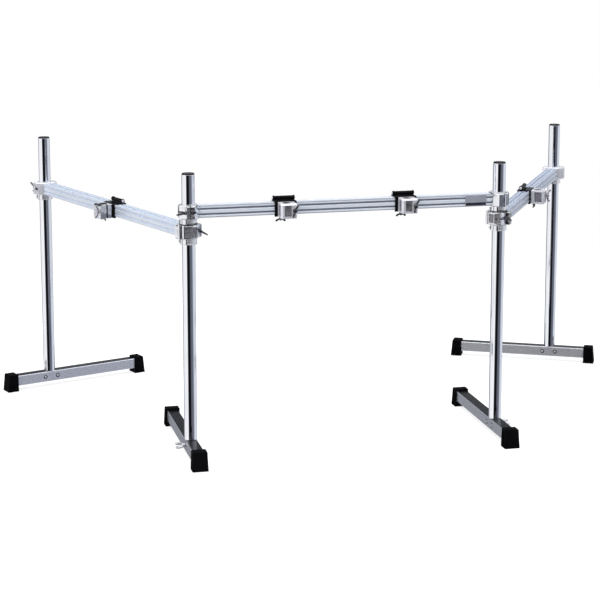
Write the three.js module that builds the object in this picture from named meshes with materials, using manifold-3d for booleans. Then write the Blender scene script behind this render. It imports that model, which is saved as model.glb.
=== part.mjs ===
// Drum rack frame: three square bars on four round posts, each post on a T-shaped foot.
// Millimetres, +Z up. The origin is under the middle of the rack, on the floor.
// The drummer sits behind the front bar, at +Y, so the outside of the front bar faces -Y.

import * as THREE from 'three';
import { mergeVertices } from 'three/addons/utils/BufferGeometryUtils.js';
import Module from 'manifold-3d';

const wasm = await Module();
wasm.setup();

// Layout of the rack
const barSpan = 938;            // from post axis to post axis, along each bar
const leftWingAngle = 110;      // degrees inside the corner at the front left post
const rightWingAngle = 121.4;   // degrees inside the corner at the front right post
const frontBarHeight = 727;     // centre line of the front bar above the floor
const gap = 0.3;                // clearance between pieces that meet
const overrun = 6;              // how far a cutting solid passes the face that it cuts
const halfTurn = Math.PI;
const quarterTurn = halfTurn / 2;
const degree = halfTurn / 180;

const post = {
  diameter: 38.1,
  wall: 1.6,
  tubeTop: 834.1,               // above the floor
  sides: 24,
  hole: 5,                      // small hole in the wall near the foot
  holeRise: 28,                 // above the top of the foot tube
  holeSides: 6,
};

const cap = {
  diameter: 36,
  rim: 3.2,                     // thickness above the end of the tube
  chamfer: 0.8,
  plug: 14,                     // depth of the plug inside the tube
};

const foot = {
  size: 34.5,                   // square tube
  wall: 2,
  corner: 3,
  cornerSteps: 2,
  underside: 17,                // above the floor
  shortReach: 157,              // post axis to the outer end of the short boot
  longReach: 346,               // post axis to the outer end of the long boot
  spigotRise: 70,               // spigot inside the post, above the tube
  spigotChamfer: 2,
  blockLength: 64,              // solid block inside the tube, under the spigot
  boltHoleSides: 8,
};

const boot = {
  length: 36,
  bottomWidth: 48,              // over the tips of the side teeth
  topWidth: 43,
  toothDepth: 3,
  teeth: 4,
  proud: 5,                     // height above the top of the foot tube
  endWall: 7,
  taper: 5,                     // lean of the outer end
  chamfer: 3,
};

const bar = {
  size: 36,
  wall: 2.6,
  corner: 2.5,
  cornerSteps: 2,
  grooveShare: 0.285,           // place of each groove, as a share of the face
  grooveWidth: 5.5,
  grooveDepth: 1.6,
};

const clamp = {
  height: 40,
  bevel: 2.6,
  barFace: 28,                  // post axis to the face that the bar butts on
  barFaceWidth: 36,
  shoulder: 16,                 // where the chamfers from the bar face end
  lugReach: 37,                 // post axis to the outer end of the bolt lug
  lugWidth: 12.5,
  lugChamfer: 4,
  jawReach: 29,                 // post axis to the flat outer face of the jaw
  jawRidge: 8,                  // ends of that flat face, on the hinge side
  jawHeel: 14,                  // and on the bolt side
  jawCorner: 19,                // inner end of the slanting face on the hinge side
  jawCheek: 27,
  jawLug: 11,                   // thickness of the jaw's bolt lug
  jawLugRoot: 23,               // where the jaw's sloping face meets the lug
  opening: 2,                   // left between the two halves
  pocketHeight: 22,             // sunk in the outer ends of the two lugs
  pocketDepth: 2.5,
  plug: 18,                     // depth of the plug inside the bar
  pinX: -5,
  pinY: 31,
  pinRadius: 2.4,
  knuckleRadius: 6.5,
  knuckleHeight: 13,            // the jaw's middle knuckle
  knuckleClearance: 0.6,
  knuckleSides: 12,
  boreSides: 24,
  panelHeight: 27,
  panelDepth: 1.6,
  panelRim: 2.4,
  panelRib: 2,                  // left standing along the ridge between the two panels
  boltY: -29.5,
  boltSides: 8,
  slotClearance: 0.8,
};

const clampBolt = {
  shaftRadius: 3.5,
  shaftLength: 25,
  hubRadius: 6.5,
  hubHeight: 9,
  span: 34,
  rise: 28.5,
  thickness: 5.5,
  bevel: 0.9,
};

const footBolt = {
  shaftRadius: 4,
  shaftLength: 12,
  hubRadius: 7,
  hubHeight: 10,
  span: 25,
  rise: 31,
  thickness: 6,
  bevel: 0.9,
};

const holderNut = {
  shaftRadius: 3.5,
  shaftLength: 36,
  hubRadius: 7,
  hubHeight: 8,
  span: 42,
  rise: 13,
  thickness: 5.5,
  bevel: 0.9,
};

const collar = {
  height: 17.5,
  radius: 25,
  chamfer: 1.6,
  sides: 24,
  padWidth: 25,
  padReach: 26,
  slit: 1.6,
};

const holder = {
  saddleLength: 65,
  plate: 3,
  footDrop: 5,                  // saddle below the bar
  lip: 4,                       // hook under the bar
  rearDrop: 12,                 // rear flange below the top of the bar
  rollRadius: 6.7,
  rollRise: 9.5,                // roll axis above the bar
  rollBack: 10,                 // roll axis behind the bar's centre line
  rollSides: 12,
  pinRadius: 3.2,
  pinProud: 1.5,
  left: 24,                     // body, from the holder's centre
  right: 24,
  reach: 46,                    // body, outward from the bar's face
  top: 20,
  bottom: 23,
  frontTop: 16,
  frontSlope: 9,
  leftCut: 5.5,                 // chamfers of the outer corners
  rightCut: 3,
  boreRadius: 12.5,
  boreX: -3,
  boreReach: 22,                // bore axis, outward from the bar's face
  boreSides: 24,
  slot: 4.5,
  boltX: 17.5,
  boltSides: 8,
  panelX: -2.5,
  panelWidth: 21,
  panelHeight: 32,
  panelDepth: 1.5,
  sidePanelRim: 2,              // panel on the left side, from the chamfer
  sidePanelWidth: 24,
  bevel: 1.2,
};

const plate = {
  length: 66,
  height: 33,
  thickness: 1.2,
  fromPost: 79,                 // its centre, from the front right post axis
};

// Where the four holders stand, each as a share of its bar's span from the left post axis
const holderPlaces = {
  front_bar_left: { bar: 'front', spanShare: 0.3 },
  front_bar_right: { bar: 'front', spanShare: 0.685 },
  left_bar: { bar: 'left', spanShare: 0.523 },
  right_bar: { bar: 'right', spanShare: 0.4552 },
};

// Turns about the posts, in degrees
const straight = 180;
const square = 90;
const footTurn = { outer_left: -1.3, outer_right: 4.1 };   // from square to the bar
const collarTurn = 215;                                    // pads face front left
const postTurn = { front_left: 90, front_right: 90, outer_left: 217, outer_right: 295 };

// How far each clamp's wing screw is turned about itself, in degrees
const wingRoll = {
  front_left_upper: 118,
  front_right_upper: 20,
  outer_left: 165,
  front_left_lower: 52,
  front_right_lower: 85,
  outer_right: 30,
};
const nutRoll = 90;             // holder wing nuts stand upright
const footRoll = 25;            // foot wing screws, inner lobe up

const lobeWidthShares = [0.3, 0.64, 0.9, 1, 0.8, 0.4];
const lobeRiseShares = [0.12, 0.46, 0.66, 0.88, 1, 0.6];
const lobeWaistShare = 0.46;

// Materials
const materials = {
  chrome: new THREE.MeshStandardMaterial({ color: 0xd6d9e0, roughness: 0.12, metalness: 1 }),
  casting: new THREE.MeshStandardMaterial({ color: 0xc4c4c6, roughness: 0.26, metalness: 1 }),
  aluminium: new THREE.MeshStandardMaterial({ color: 0xc3cfe2, roughness: 0.34, metalness: 0.9 }),
  satin: new THREE.MeshStandardMaterial({ color: 0x969aa5, roughness: 0.4, metalness: 0.9 }),
  rubber: new THREE.MeshStandardMaterial({ color: 0x141517, roughness: 0.75, metalness: 0 }),
  plastic: new THREE.MeshStandardMaterial({ color: 0x191a1c, roughness: 0.5, metalness: 0 }),
  badge: new THREE.MeshStandardMaterial({ color: 0x8f929c, roughness: 0.4, metalness: 0.7 }),
};

// Sizes that follow from the ones above
const postRadius = post.diameter / 2;
const footTop = foot.underside + foot.size;
const wingBarHeight = frontBarHeight - clamp.height - collar.height;
const collarDrop = (clamp.height + collar.height) / 2;
const boreRadius = (postRadius + gap) / Math.cos(Math.PI / clamp.boreSides);
const halfBar = bar.size / 2;

// A closed mesh as a solid that can be joined and cut
function solid(geometry) {
  const bare = geometry.clone();
  bare.deleteAttribute('normal');
  bare.deleteAttribute('uv');
  const merged = mergeVertices(bare);
  const index = merged.index.array;
  const faces = [];
  for (let i = 0; i < index.length; i += 3) {
    const [a, b, c] = [index[i], index[i + 1], index[i + 2]];
    if (a !== b && b !== c && c !== a) faces.push(a, b, c);
  }
  return new wasm.Manifold(new wasm.Mesh({
    numProp: 3,
    vertProperties: new Float32Array(merged.attributes.position.array),
    triVerts: new Uint32Array(faces),
  }));
}

// A solid back as geometry, flat shaded
function geometryOf(body) {
  const mesh = body.getMesh();
  const geometry = new THREE.BufferGeometry();
  geometry.setAttribute('position', new THREE.BufferAttribute(mesh.vertProperties, 3));
  geometry.setIndex(new THREE.BufferAttribute(mesh.triVerts, 1));
  const flat = geometry.toNonIndexed();
  flat.computeVertexNormals();
  return flat;
}

// An outline of [x, y] points as a shape
function outline(points) {
  return new THREE.Shape(points.map(([x, y]) => new THREE.Vector2(x, y)));
}

// A shape raised along +Z, centred on z = 0, with an optional bevel on both rims
function raise(shape, height, bevel = 0) {
  const geometry = new THREE.ExtrudeGeometry(shape, {
    depth: height - 2 * bevel,
    bevelEnabled: bevel > 0,
    bevelThickness: bevel,
    bevelSize: bevel,
    bevelOffset: -bevel,
    bevelSegments: 1,
  });
  return geometry.translate(0, 0, bevel - height / 2);
}

// Turns a geometry so that its Z runs along X, its X along Y and its Y along Z
function alongX(geometry) {
  const x = new THREE.Vector3(1, 0, 0);
  const y = new THREE.Vector3(0, 1, 0);
  const z = new THREE.Vector3(0, 0, 1);
  return geometry.applyMatrix4(new THREE.Matrix4().makeBasis(y, z, x));
}

// A box between two corners
function block(low, high) {
  const size = high.map((value, i) => value - low[i]);
  const middle = high.map((value, i) => (value + low[i]) / 2);
  return new THREE.BoxGeometry(...size).translate(...middle);
}

// A round bar along Z, from z = low to z = high
function rod(radius, low, high, sides) {
  const geometry = new THREE.CylinderGeometry(radius, radius, high - low, sides);
  return geometry.rotateX(quarterTurn).translate(0, 0, (low + high) / 2);
}

// A profile of [radius, height] points turned about Z
function turned(profile, sides) {
  const points = profile.map(([radius, height]) => new THREE.Vector2(radius, height));
  return new THREE.LatheGeometry(points, sides).rotateX(quarterTurn);
}

// A square outline with rounded corners, starting at the lower right
function roundedSquare(size, corner, steps) {
  const points = [];
  const inset = size / 2 - corner;
  for (let side = 0; side < 4; side += 1) {
    for (let step = 0; step <= steps; step += 1) {
      const angle = (side + step / steps) * quarterTurn - quarterTurn;
      const turn = (side - 0.5) * quarterTurn;
      const centre = [Math.sign(Math.cos(turn)) * inset, Math.sign(Math.sin(turn)) * inset];
      points.push([centre[0] + corner * Math.cos(angle), centre[1] + corner * Math.sin(angle)]);
    }
  }
  return points;
}

// A solid through level rings with equal counts, lowest ring first, each anticlockwise from above
function loft(rings) {
  const count = rings[0].length;
  const index = [];
  for (let ring = 0; ring < rings.length - 1; ring += 1) {
    for (let i = 0; i < count; i += 1) {
      const a = ring * count + i;
      const b = ring * count + (i + 1) % count;
      index.push(a, b, b + count, a, b + count, a + count);
    }
  }
  const flatRing = (ring) => ring.map(([x, y]) => new THREE.Vector2(x, y));
  const last = (rings.length - 1) * count;
  for (const [a, b, c] of THREE.ShapeUtils.triangulateShape(flatRing(rings[0]), [])) index.push(a, c, b);
  for (const [a, b, c] of THREE.ShapeUtils.triangulateShape(flatRing(rings.at(-1)), [])) {
    index.push(last + a, last + b, last + c);
  }
  const geometry = new THREE.BufferGeometry();
  geometry.setAttribute('position', new THREE.Float32BufferAttribute(rings.flat(2), 3));
  geometry.setIndex(index);
  return geometry;
}

// Post: a round tube with its end cap pressed in at the top, open at the bottom
function postShape() {
  const bottom = footTop + gap;
  const capRadius = cap.diameter / 2;
  const capTop = post.tubeTop + cap.rim;
  const inside = postRadius - post.wall;
  const body = solid(turned([
    [0, post.tubeTop - cap.plug],
    [inside, post.tubeTop - cap.plug],
    [inside, bottom],
    [postRadius, bottom],
    [postRadius, post.tubeTop],
    [capRadius, post.tubeTop],
    [capRadius, capTop - cap.chamfer],
    [capRadius - cap.chamfer, capTop],
    [0, capTop],
  ], post.sides));
  const drill = rod(post.hole / 2, inside - overrun, postRadius + overrun, post.holeSides);
  const hole = alongX(drill).translate(0, 0, footTop + post.holeRise);
  return body.subtract(solid(hole));
}

// Foot: a square tube with a block inside and a spigot that stands up into the post.
// Its screw hole is in the +Y side, or in the -Y side where side is -1.
function footShape(side) {
  const shape = outline(roundedSquare(foot.size, foot.corner, foot.cornerSteps));
  const inside = foot.size / 2 - foot.wall;
  shape.holes.push(outline([[-inside, -inside], [-inside, inside], [inside, inside], [inside, -inside]]));
  const low = boot.endWall + gap - foot.shortReach;
  const high = foot.longReach - boot.endWall - gap;
  const tube = alongX(raise(shape, high - low)).translate((low + high) / 2, 0, 0);
  const bite = foot.wall / 2;
  const half = foot.blockLength / 2;
  const core = block([-half, -inside - bite, -inside - bite], [half, inside + bite, inside + bite]);
  const spigotRadius = postRadius - post.wall - gap;
  const spigotTop = foot.size / 2 + foot.spigotRise;
  const spigot = turned([
    [0, 0],
    [spigotRadius, 0],
    [spigotRadius, spigotTop - foot.spigotChamfer],
    [spigotRadius - foot.spigotChamfer, spigotTop],
    [0, spigotTop],
  ], post.sides);
  const holeRadius = (footBolt.shaftRadius + gap) / Math.cos(Math.PI / foot.boltHoleSides);
  const deep = foot.size / 2 - footBolt.shaftLength - gap;
  const drill = rod(holeRadius, deep, foot.size / 2 + overrun, foot.boltHoleSides);
  return solid(tube).add(solid(core)).add(solid(spigot)).subtract(solid(drill.rotateX(-side * quarterTurn)));
}

// Boot: a ribbed rubber block with a pocket for the end of the foot tube; its outer end is at x = 0
function bootShape() {
  const height = footTop + boot.proud;
  const steps = boot.teeth * 2;
  const ring = (z, near, far, tip, valley) => {
    const at = (step) => near + (far - near) * step / steps;
    const side = (step) => (step % 2 === 0 ? valley : tip);
    const points = [];
    for (let step = 0; step <= steps; step += 1) points.push([at(step), -side(step), z]);
    for (let step = steps; step >= 0; step -= 1) points.push([at(step), side(step), z]);
    return points;
  };
  const tip = boot.bottomWidth / 2;
  const top = boot.topWidth / 2;
  const body = loft([
    ring(0, 0, boot.length, tip, tip - boot.toothDepth),
    ring(height - boot.chamfer, boot.taper, boot.length, top, top),
    ring(height, boot.taper + boot.chamfer, boot.length, top - boot.chamfer / 2, top - boot.chamfer / 2),
  ]);
  const half = foot.size / 2 + gap;
  const pocket = block(
    [boot.endWall, -half, foot.underside - gap],
    [boot.length + overrun, half, footTop + gap],
  );
  return solid(body).subtract(solid(pocket));
}

// Wing screw along Z: threaded shaft below z = 0, hub and two swept lobes above it
function wingScrew(size) {
  const half = size.span / 2;
  const right = lobeWidthShares.map((share, i) => [half * share, size.rise * lobeRiseShares[i]]);
  const left = right.map(([x, y]) => [-x, y]).reverse();
  const waist = [0, size.rise * lobeWaistShare];
  const lobes = raise(outline([...right, waist, ...left]), size.thickness, size.bevel);
  const shaft = rod(size.shaftRadius, -size.shaftLength, size.hubHeight, clamp.boltSides);
  const hub = turned([
    [0, 0],
    [size.hubRadius, 0],
    [size.shaftRadius, size.hubHeight],
    [0, size.hubHeight],
  ], clamp.boltSides);
  return solid(lobes.rotateX(quarterTurn)).add(solid(shaft)).add(solid(hub));
}

// The hole that a screw along X or Y turns in
function screwHoleRadius(size, clearance) {
  return (size.shaftRadius + clearance) / Math.cos(Math.PI / clamp.boltSides);
}

// Post clamp, the half fixed in the end of the bar. The post axis is the origin and +X the bar.
function clampBodyShape() {
  const height = clamp.height - gap;
  const face = clamp.barFaceWidth / 2;
  const knuckleTop = clamp.pinY + clamp.knuckleRadius;
  const split = clamp.opening / 2;
  const body = raise(outline([
    [split, -clamp.lugReach],
    [clamp.lugWidth, -clamp.lugReach],
    [clamp.lugWidth + clamp.lugChamfer, -clamp.lugReach + clamp.lugChamfer],
    [clamp.barFace, -face],
    [clamp.barFace, face],
    [clamp.shoulder, knuckleTop - clamp.lugChamfer],
    [clamp.shoulder - clamp.lugChamfer, knuckleTop],
    [clamp.pinX + split, knuckleTop],
    [clamp.pinX + split, 0],
    [split, 0],
  ]), height, clamp.bevel);
  const knuckle = rod(clamp.knuckleRadius, -height / 2, height / 2, clamp.knuckleSides);
  const room = clamp.knuckleHeight / 2 + gap;
  const roomRadius = clamp.knuckleRadius + clamp.knuckleClearance;
  const notch = rod(roomRadius, -room, room, clamp.knuckleSides);
  const pin = rod(clamp.pinRadius, -room - overrun, room + overrun, clamp.boltSides);
  const plugHalf = halfBar - bar.wall - gap;
  const plug = block([clamp.barFace - clamp.bevel, -plugHalf, -plugHalf],
    [clamp.barFace + clamp.plug, plugHalf, plugHalf]);
  const slotHalf = clampBolt.shaftRadius + clamp.slotClearance;
  const slot = block([-overrun, -clamp.lugReach - overrun, -slotHalf],
    [clamp.lugWidth + clamp.lugChamfer, clamp.boltY + slotHalf, slotHalf]);
  const pocket = block([-overrun, -clamp.lugReach - overrun, -clamp.pocketHeight / 2],
    [clamp.lugWidth - clamp.panelRim, clamp.pocketDepth - clamp.lugReach, clamp.pocketHeight / 2]);
  const bore = rod(boreRadius, -height, height, clamp.boreSides);
  return solid(body)
    .add(solid(knuckle.translate(clamp.pinX, clamp.pinY, 0)))
    .subtract(solid(notch.translate(clamp.pinX, clamp.pinY, 0)))
    .add(solid(pin.translate(clamp.pinX, clamp.pinY, 0)))
    .add(solid(plug))
    .subtract(solid(slot))
    .subtract(solid(pocket))
    .subtract(solid(bore));
}

// Post clamp, the jaw that swings on the hinge pin and carries the wing screw
function clampJawShape() {
  const height = clamp.height - gap;
  const split = clamp.opening / 2;
  const body = raise(outline([
    [-split, -clamp.lugReach],
    [-split, 0],
    [clamp.pinX - split, 0],
    [clamp.pinX - split, clamp.pinY],
    [-clamp.jawCorner, clamp.jawCheek],
    [-clamp.jawReach, clamp.jawRidge],
    [-clamp.jawReach, -clamp.jawHeel],
    [-clamp.jawLug, -clamp.jawLugRoot],
    [-clamp.jawLug, -clamp.lugReach],
  ]), height, clamp.bevel);
  const roomRadius = clamp.knuckleRadius + clamp.knuckleClearance;
  const notch = rod(roomRadius, -height, height, clamp.knuckleSides);
  const half = clamp.knuckleHeight / 2;
  const knuckle = rod(clamp.knuckleRadius, -half, half, clamp.knuckleSides);
  const arm = block([-clamp.jawCorner + clamp.bevel, clamp.jawCorner, -half], [clamp.pinX, clamp.jawCheek, half]);
  const eyeRadius = (clamp.pinRadius + gap) / Math.cos(Math.PI / clamp.boltSides);
  const eye = rod(eyeRadius, -height, height, clamp.boltSides);
  const flat = block([-overrun, clamp.panelRim - clamp.jawHeel - clamp.jawRidge, -clamp.panelHeight / 2],
    [clamp.panelDepth, -clamp.panelRib / 2, clamp.panelHeight / 2]);
  const lean = [clamp.jawReach - clamp.jawCorner, clamp.jawCheek - clamp.jawRidge];
  const slant = block([-overrun, clamp.panelRib / 2, -clamp.panelHeight / 2],
    [clamp.panelDepth, Math.hypot(...lean) - clamp.panelRim, clamp.panelHeight / 2]);
  slant.rotateZ(-Math.atan2(...lean));
  const pocket = block([clamp.panelRim - clamp.jawLug, -clamp.lugReach - overrun, -clamp.pocketHeight / 2],
    [overrun, clamp.pocketDepth - clamp.lugReach, clamp.pocketHeight / 2]);
  const hole = alongX(rod(screwHoleRadius(clampBolt, gap), -clamp.jawReach, clamp.lugWidth, clamp.boltSides));
  const bore = rod(boreRadius, -height, height, clamp.boreSides);
  return solid(body)
    .subtract(solid(notch.translate(clamp.pinX, clamp.pinY, 0)))
    .add(solid(knuckle.translate(clamp.pinX, clamp.pinY, 0)))
    .add(solid(arm))
    .subtract(solid(eye.translate(clamp.pinX, clamp.pinY, 0)))
    .subtract(solid(flat.translate(-clamp.jawReach, clamp.jawRidge, 0)))
    .subtract(solid(slant.translate(-clamp.jawReach, clamp.jawRidge, 0)))
    .subtract(solid(pocket))
    .subtract(solid(hole.translate(0, clamp.boltY, 0)))
    .subtract(solid(bore));
}

// Collar: a slit ring on the post with a smooth pad for its screw, at +X
function collarShape() {
  const height = collar.height - gap;
  const inside = (postRadius + gap) / Math.cos(Math.PI / collar.sides);
  const low = -height / 2;
  const high = height / 2;
  const ring = turned([
    [0, low],
    [collar.radius - collar.chamfer, low],
    [collar.radius, low + collar.chamfer],
    [collar.radius, high - collar.chamfer],
    [collar.radius - collar.chamfer, high],
    [0, high],
  ], collar.sides);
  const padHalf = collar.padWidth / 2;
  const pad = raise(outline([
    [0, -padHalf],
    [collar.padReach - collar.chamfer, -padHalf + collar.chamfer],
    [collar.padReach, -padHalf + 2 * collar.chamfer],
    [collar.padReach, padHalf - 2 * collar.chamfer],
    [collar.padReach - collar.chamfer, padHalf - collar.chamfer],
    [0, padHalf],
  ]), height, collar.chamfer);
  const slit = block([0, -collar.slit / 2, -height], [collar.padReach + overrun, collar.slit / 2, height]);
  const bore = rod(inside, -height, height, collar.sides);
  return solid(ring).add(solid(pad)).subtract(solid(bore)).subtract(solid(slit));
}

// Bar: a square extrusion along X with two grooves in each face
function barShape() {
  const half = halfBar;
  const offset = half - bar.size * bar.grooveShare;
  const side = roundedSquare(bar.size, bar.corner, bar.cornerSteps);
  const perSide = bar.cornerSteps + 1;
  const points = [];
  for (let face = 0; face < 4; face += 1) {
    const turn = face * quarterTurn;
    const place = (x, y) => [x * Math.cos(turn) - y * Math.sin(turn), x * Math.sin(turn) + y * Math.cos(turn)];
    points.push(...side.slice(face * perSide, (face + 1) * perSide));
    for (const centre of [-offset, offset]) {
      points.push(place(half, centre - bar.grooveWidth / 2));
      points.push(place(half - bar.grooveDepth, centre - bar.grooveWidth / 2));
      points.push(place(half - bar.grooveDepth, centre + bar.grooveWidth / 2));
      points.push(place(half, centre + bar.grooveWidth / 2));
    }
  }
  const shape = outline(points);
  const inside = half - bar.wall;
  shape.holes.push(outline([[-inside, -inside], [-inside, inside], [inside, inside], [inside, -inside]]));
  const length = barSpan - 2 * (clamp.barFace + gap);
  return solid(alongX(raise(shape, length)).translate(barSpan / 2, 0, 0));
}

// Holder saddle: a channel over the bar, with a roll and its pin along the top
function saddleShape() {
  const near = halfBar + gap;
  const far = near + holder.plate;
  const low = -halfBar - holder.footDrop;
  const channel = raise(outline([
    [-far, low],
    [holder.lip - near, low],
    [holder.lip - near, -near],
    [-near, -near],
    [-near, near],
    [near, near],
    [near, halfBar - holder.rearDrop],
    [far, halfBar - holder.rearDrop],
    [far, far],
    [-far, far],
  ]), holder.saddleLength);
  const half = holder.saddleLength / 2;
  const roll = rod(holder.rollRadius, -half, half, holder.rollSides);
  const pinHalf = half + holder.pinProud;
  const pin = rod(holder.pinRadius, -pinHalf, pinHalf, holder.rollSides);
  const rollY = holder.rollBack;
  const rollZ = halfBar + holder.rollRise;
  return solid(alongX(channel))
    .add(solid(alongX(roll).translate(0, rollY, rollZ)))
    .add(solid(alongX(pin).translate(0, rollY, rollZ)));
}

// Holder body: a casting outside the saddle with an upright bore, split from the bore to the right
function holderShape() {
  const back = -halfBar - holder.plate - 2 * gap;
  const front = -halfBar - holder.reach;
  const height = holder.top + holder.bottom;
  const middle = (holder.top - holder.bottom) / 2;
  const body = raise(outline([
    [-holder.left, back],
    [-holder.left, front + holder.leftCut],
    [-holder.left + holder.leftCut, front],
    [holder.right - holder.rightCut, front],
    [holder.right, front + holder.rightCut],
    [holder.right, back],
  ]), height, holder.bevel).translate(0, 0, middle);
  const slope = raise(outline([
    [front - overrun, holder.frontTop],
    [front, holder.frontTop],
    [front + holder.frontSlope, holder.top],
    [front + holder.frontSlope, holder.top + overrun],
    [front - overrun, holder.top + overrun],
  ]), 2 * (holder.left + holder.right));
  const boreY = -halfBar - holder.boreReach;
  const bore = rod(holder.boreRadius, -height, height, holder.boreSides).translate(holder.boreX, boreY, 0);
  const slot = block([holder.boreX, boreY - holder.slot / 2, -height],
    [holder.right + overrun, boreY + holder.slot / 2, height]);
  const holeRadius = screwHoleRadius(holderNut, gap);
  const deep = holderNut.shaftLength + 2 * gap;
  const hole = rod(holeRadius, -overrun, deep, holder.boltSides).rotateX(-quarterTurn);
  const panelLeft = holder.panelX - holder.panelWidth / 2;
  const panelTop = holder.frontTop - holder.bevel;
  const panel = block([panelLeft, front - overrun, panelTop - holder.panelHeight],
    [panelLeft + holder.panelWidth, front + holder.panelDepth, panelTop]);
  const sideStart = front + holder.leftCut + holder.sidePanelRim;
  const sidePanel = block([-holder.left - overrun, sideStart, panelTop - holder.panelHeight],
    [-holder.left + holder.panelDepth, sideStart + holder.sidePanelWidth, panelTop]);
  return solid(body)
    .subtract(solid(alongX(slope)))
    .subtract(solid(bore))
    .subtract(solid(slot))
    .subtract(solid(hole.translate(holder.boltX, front, 0)))
    .subtract(solid(panel))
    .subtract(solid(sidePanel));
}

// Bare plate on the outside of the front bar
function plateShape() {
  const face = -halfBar - gap;
  const half = plate.length / 2;
  return solid(block([-half, face - plate.thickness, -plate.height / 2], [half, face, plate.height / 2]));
}

// A named piece of a shape that is worked out once and used for all its copies
const shapes = {
  post: geometryOf(postShape()),
  leftFoot: geometryOf(footShape(1)),
  rightFoot: geometryOf(footShape(-1)),
  boot: geometryOf(bootShape()),
  footBolt: geometryOf(wingScrew(footBolt)),
  clampBody: geometryOf(clampBodyShape()),
  clampJaw: geometryOf(clampJawShape()),
  clampBolt: geometryOf(wingScrew(clampBolt)),
  collar: geometryOf(collarShape()),
  bar: geometryOf(barShape()),
  saddle: geometryOf(saddleShape()),
  holder: geometryOf(holderShape()),
  holderNut: geometryOf(wingScrew(holderNut)),
  plate: geometryOf(plateShape()),
};

function piece(name, shape, material) {
  const mesh = new THREE.Mesh(shapes[shape], materials[material]);
  mesh.name = name;
  return mesh;
}

// A screw whose head points along the given direction, turned by roll degrees about itself
function screw(name, shape, material, place, heading, roll) {
  const mesh = piece(name, shape, material);
  const turn = new THREE.Quaternion().setFromUnitVectors(new THREE.Vector3(0, 0, 1), heading);
  const spin = new THREE.Quaternion().setFromAxisAngle(new THREE.Vector3(0, 0, 1), roll * degree);
  mesh.quaternion.copy(turn.multiply(spin));
  mesh.position.copy(place);
  return mesh;
}

// One end of a bar: fixed half, jaw and wing screw, round the post axis
function postClamp(name) {
  const group = new THREE.Group();
  const head = new THREE.Vector3(-clamp.jawLug - gap, clamp.boltY, 0);
  group.add(piece(`${name}_clamp_body`, 'clampBody', 'casting'));
  group.add(piece(`${name}_clamp_jaw`, 'clampJaw', 'casting'));
  const outward = new THREE.Vector3(-1, 0, 0);
  group.add(screw(`${name}_clamp_wing_bolt`, 'clampBolt', 'chrome', head, outward, wingRoll[name]));
  return group;
}

// A holder on a bar, with its wing nut
function barHolder(name) {
  const group = new THREE.Group();
  const head = new THREE.Vector3(holder.boltX, -halfBar - holder.reach - gap, 0);
  group.add(piece(`${name}_holder_saddle`, 'saddle', 'plastic'));
  group.add(piece(`${name}_holder_body`, 'holder', 'casting'));
  const outward = new THREE.Vector3(0, -1, 0);
  group.add(screw(`${name}_holder_wing_nut`, 'holderNut', 'chrome', head, outward, nutRoll));
  return group;
}

// A bar with the clamps at its two ends, from its left post axis as seen from outside
function barAssembly(name, leftClamp, rightClamp, start, angle, height) {
  const group = new THREE.Group();
  group.position.set(start.x, start.y, height);
  group.rotation.z = angle * degree;
  group.add(piece(`${name}_bar`, 'bar', 'aluminium'));
  group.add(postClamp(leftClamp));
  const right = postClamp(rightClamp);
  right.position.x = barSpan;
  right.rotation.z = halfTurn;
  group.add(right);
  return group;
}

// A post with its foot and boots; heights gives the centre line of each bar that it carries
function postAssembly(name, place, footAngle, side, heights) {
  const group = new THREE.Group();
  group.position.set(place.x, place.y, 0);
  const tube = piece(`${name}_post`, 'post', 'chrome');
  tube.rotation.z = postTurn[name] * degree;
  group.add(tube);
  const base = new THREE.Group();
  base.rotation.z = footAngle * degree;
  const middle = foot.underside + foot.size / 2;
  const beam = piece(`${name}_foot`, side > 0 ? 'leftFoot' : 'rightFoot', 'satin');
  beam.position.z = middle;
  base.add(beam);
  const head = new THREE.Vector3(0, side * (foot.size / 2 + gap), middle);
  const sideways = new THREE.Vector3(0, side, 0);
  base.add(screw(`${name}_foot_wing_bolt`, 'footBolt', 'chrome', head, sideways, -side * footRoll));
  const shortBoot = piece(`${name}_outer_boot`, 'boot', 'rubber');
  shortBoot.position.x = -foot.shortReach;
  base.add(shortBoot);
  const longBoot = piece(`${name}_inner_boot`, 'boot', 'rubber');
  longBoot.position.x = foot.longReach;
  longBoot.rotation.z = halfTurn;
  base.add(longBoot);
  group.add(base);
  for (const [label, height] of Object.entries(heights)) {
    const ring = piece(`${label}_collar`, 'collar', 'casting');
    ring.position.z = height - collarDrop;
    ring.rotation.z = collarTurn * degree;
    group.add(ring);
  }
  return group;
}

// Where the four posts stand
const leftAngle = halfTurn - leftWingAngle * degree;
const rightAngle = halfTurn - rightWingAngle * degree;
const frontLeft = new THREE.Vector2(-barSpan / 2, 0);
const frontRight = new THREE.Vector2(barSpan / 2, 0);
const outerLeft = new THREE.Vector2(-barSpan * Math.cos(leftAngle), barSpan * Math.sin(leftAngle)).add(frontLeft);
const outerRight = new THREE.Vector2(barSpan * Math.cos(rightAngle), barSpan * Math.sin(rightAngle)).add(frontRight);

// Directions of the wing bars, in degrees, from their left post axis to their right one
const leftBarTurn = leftWingAngle - straight;
const rightBarTurn = straight - rightWingAngle;

const rack = new THREE.Group();
const bars = {
  front: barAssembly('front', 'front_left_upper', 'front_right_upper', frontLeft, 0, frontBarHeight),
  left: barAssembly('left', 'outer_left', 'front_left_lower', outerLeft, leftBarTurn, wingBarHeight),
  right: barAssembly('right', 'front_right_lower', 'outer_right', frontRight, rightBarTurn, wingBarHeight),
};
for (const [name, { bar: carrier, spanShare }] of Object.entries(holderPlaces)) {
  const group = barHolder(name);
  group.position.x = barSpan * spanShare;
  bars[carrier].add(group);
}
const badge = piece('badge_plate', 'plate', 'badge');
badge.position.x = barSpan - plate.fromPost;
bars.front.add(badge);
rack.add(bars.front, bars.left, bars.right);

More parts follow.
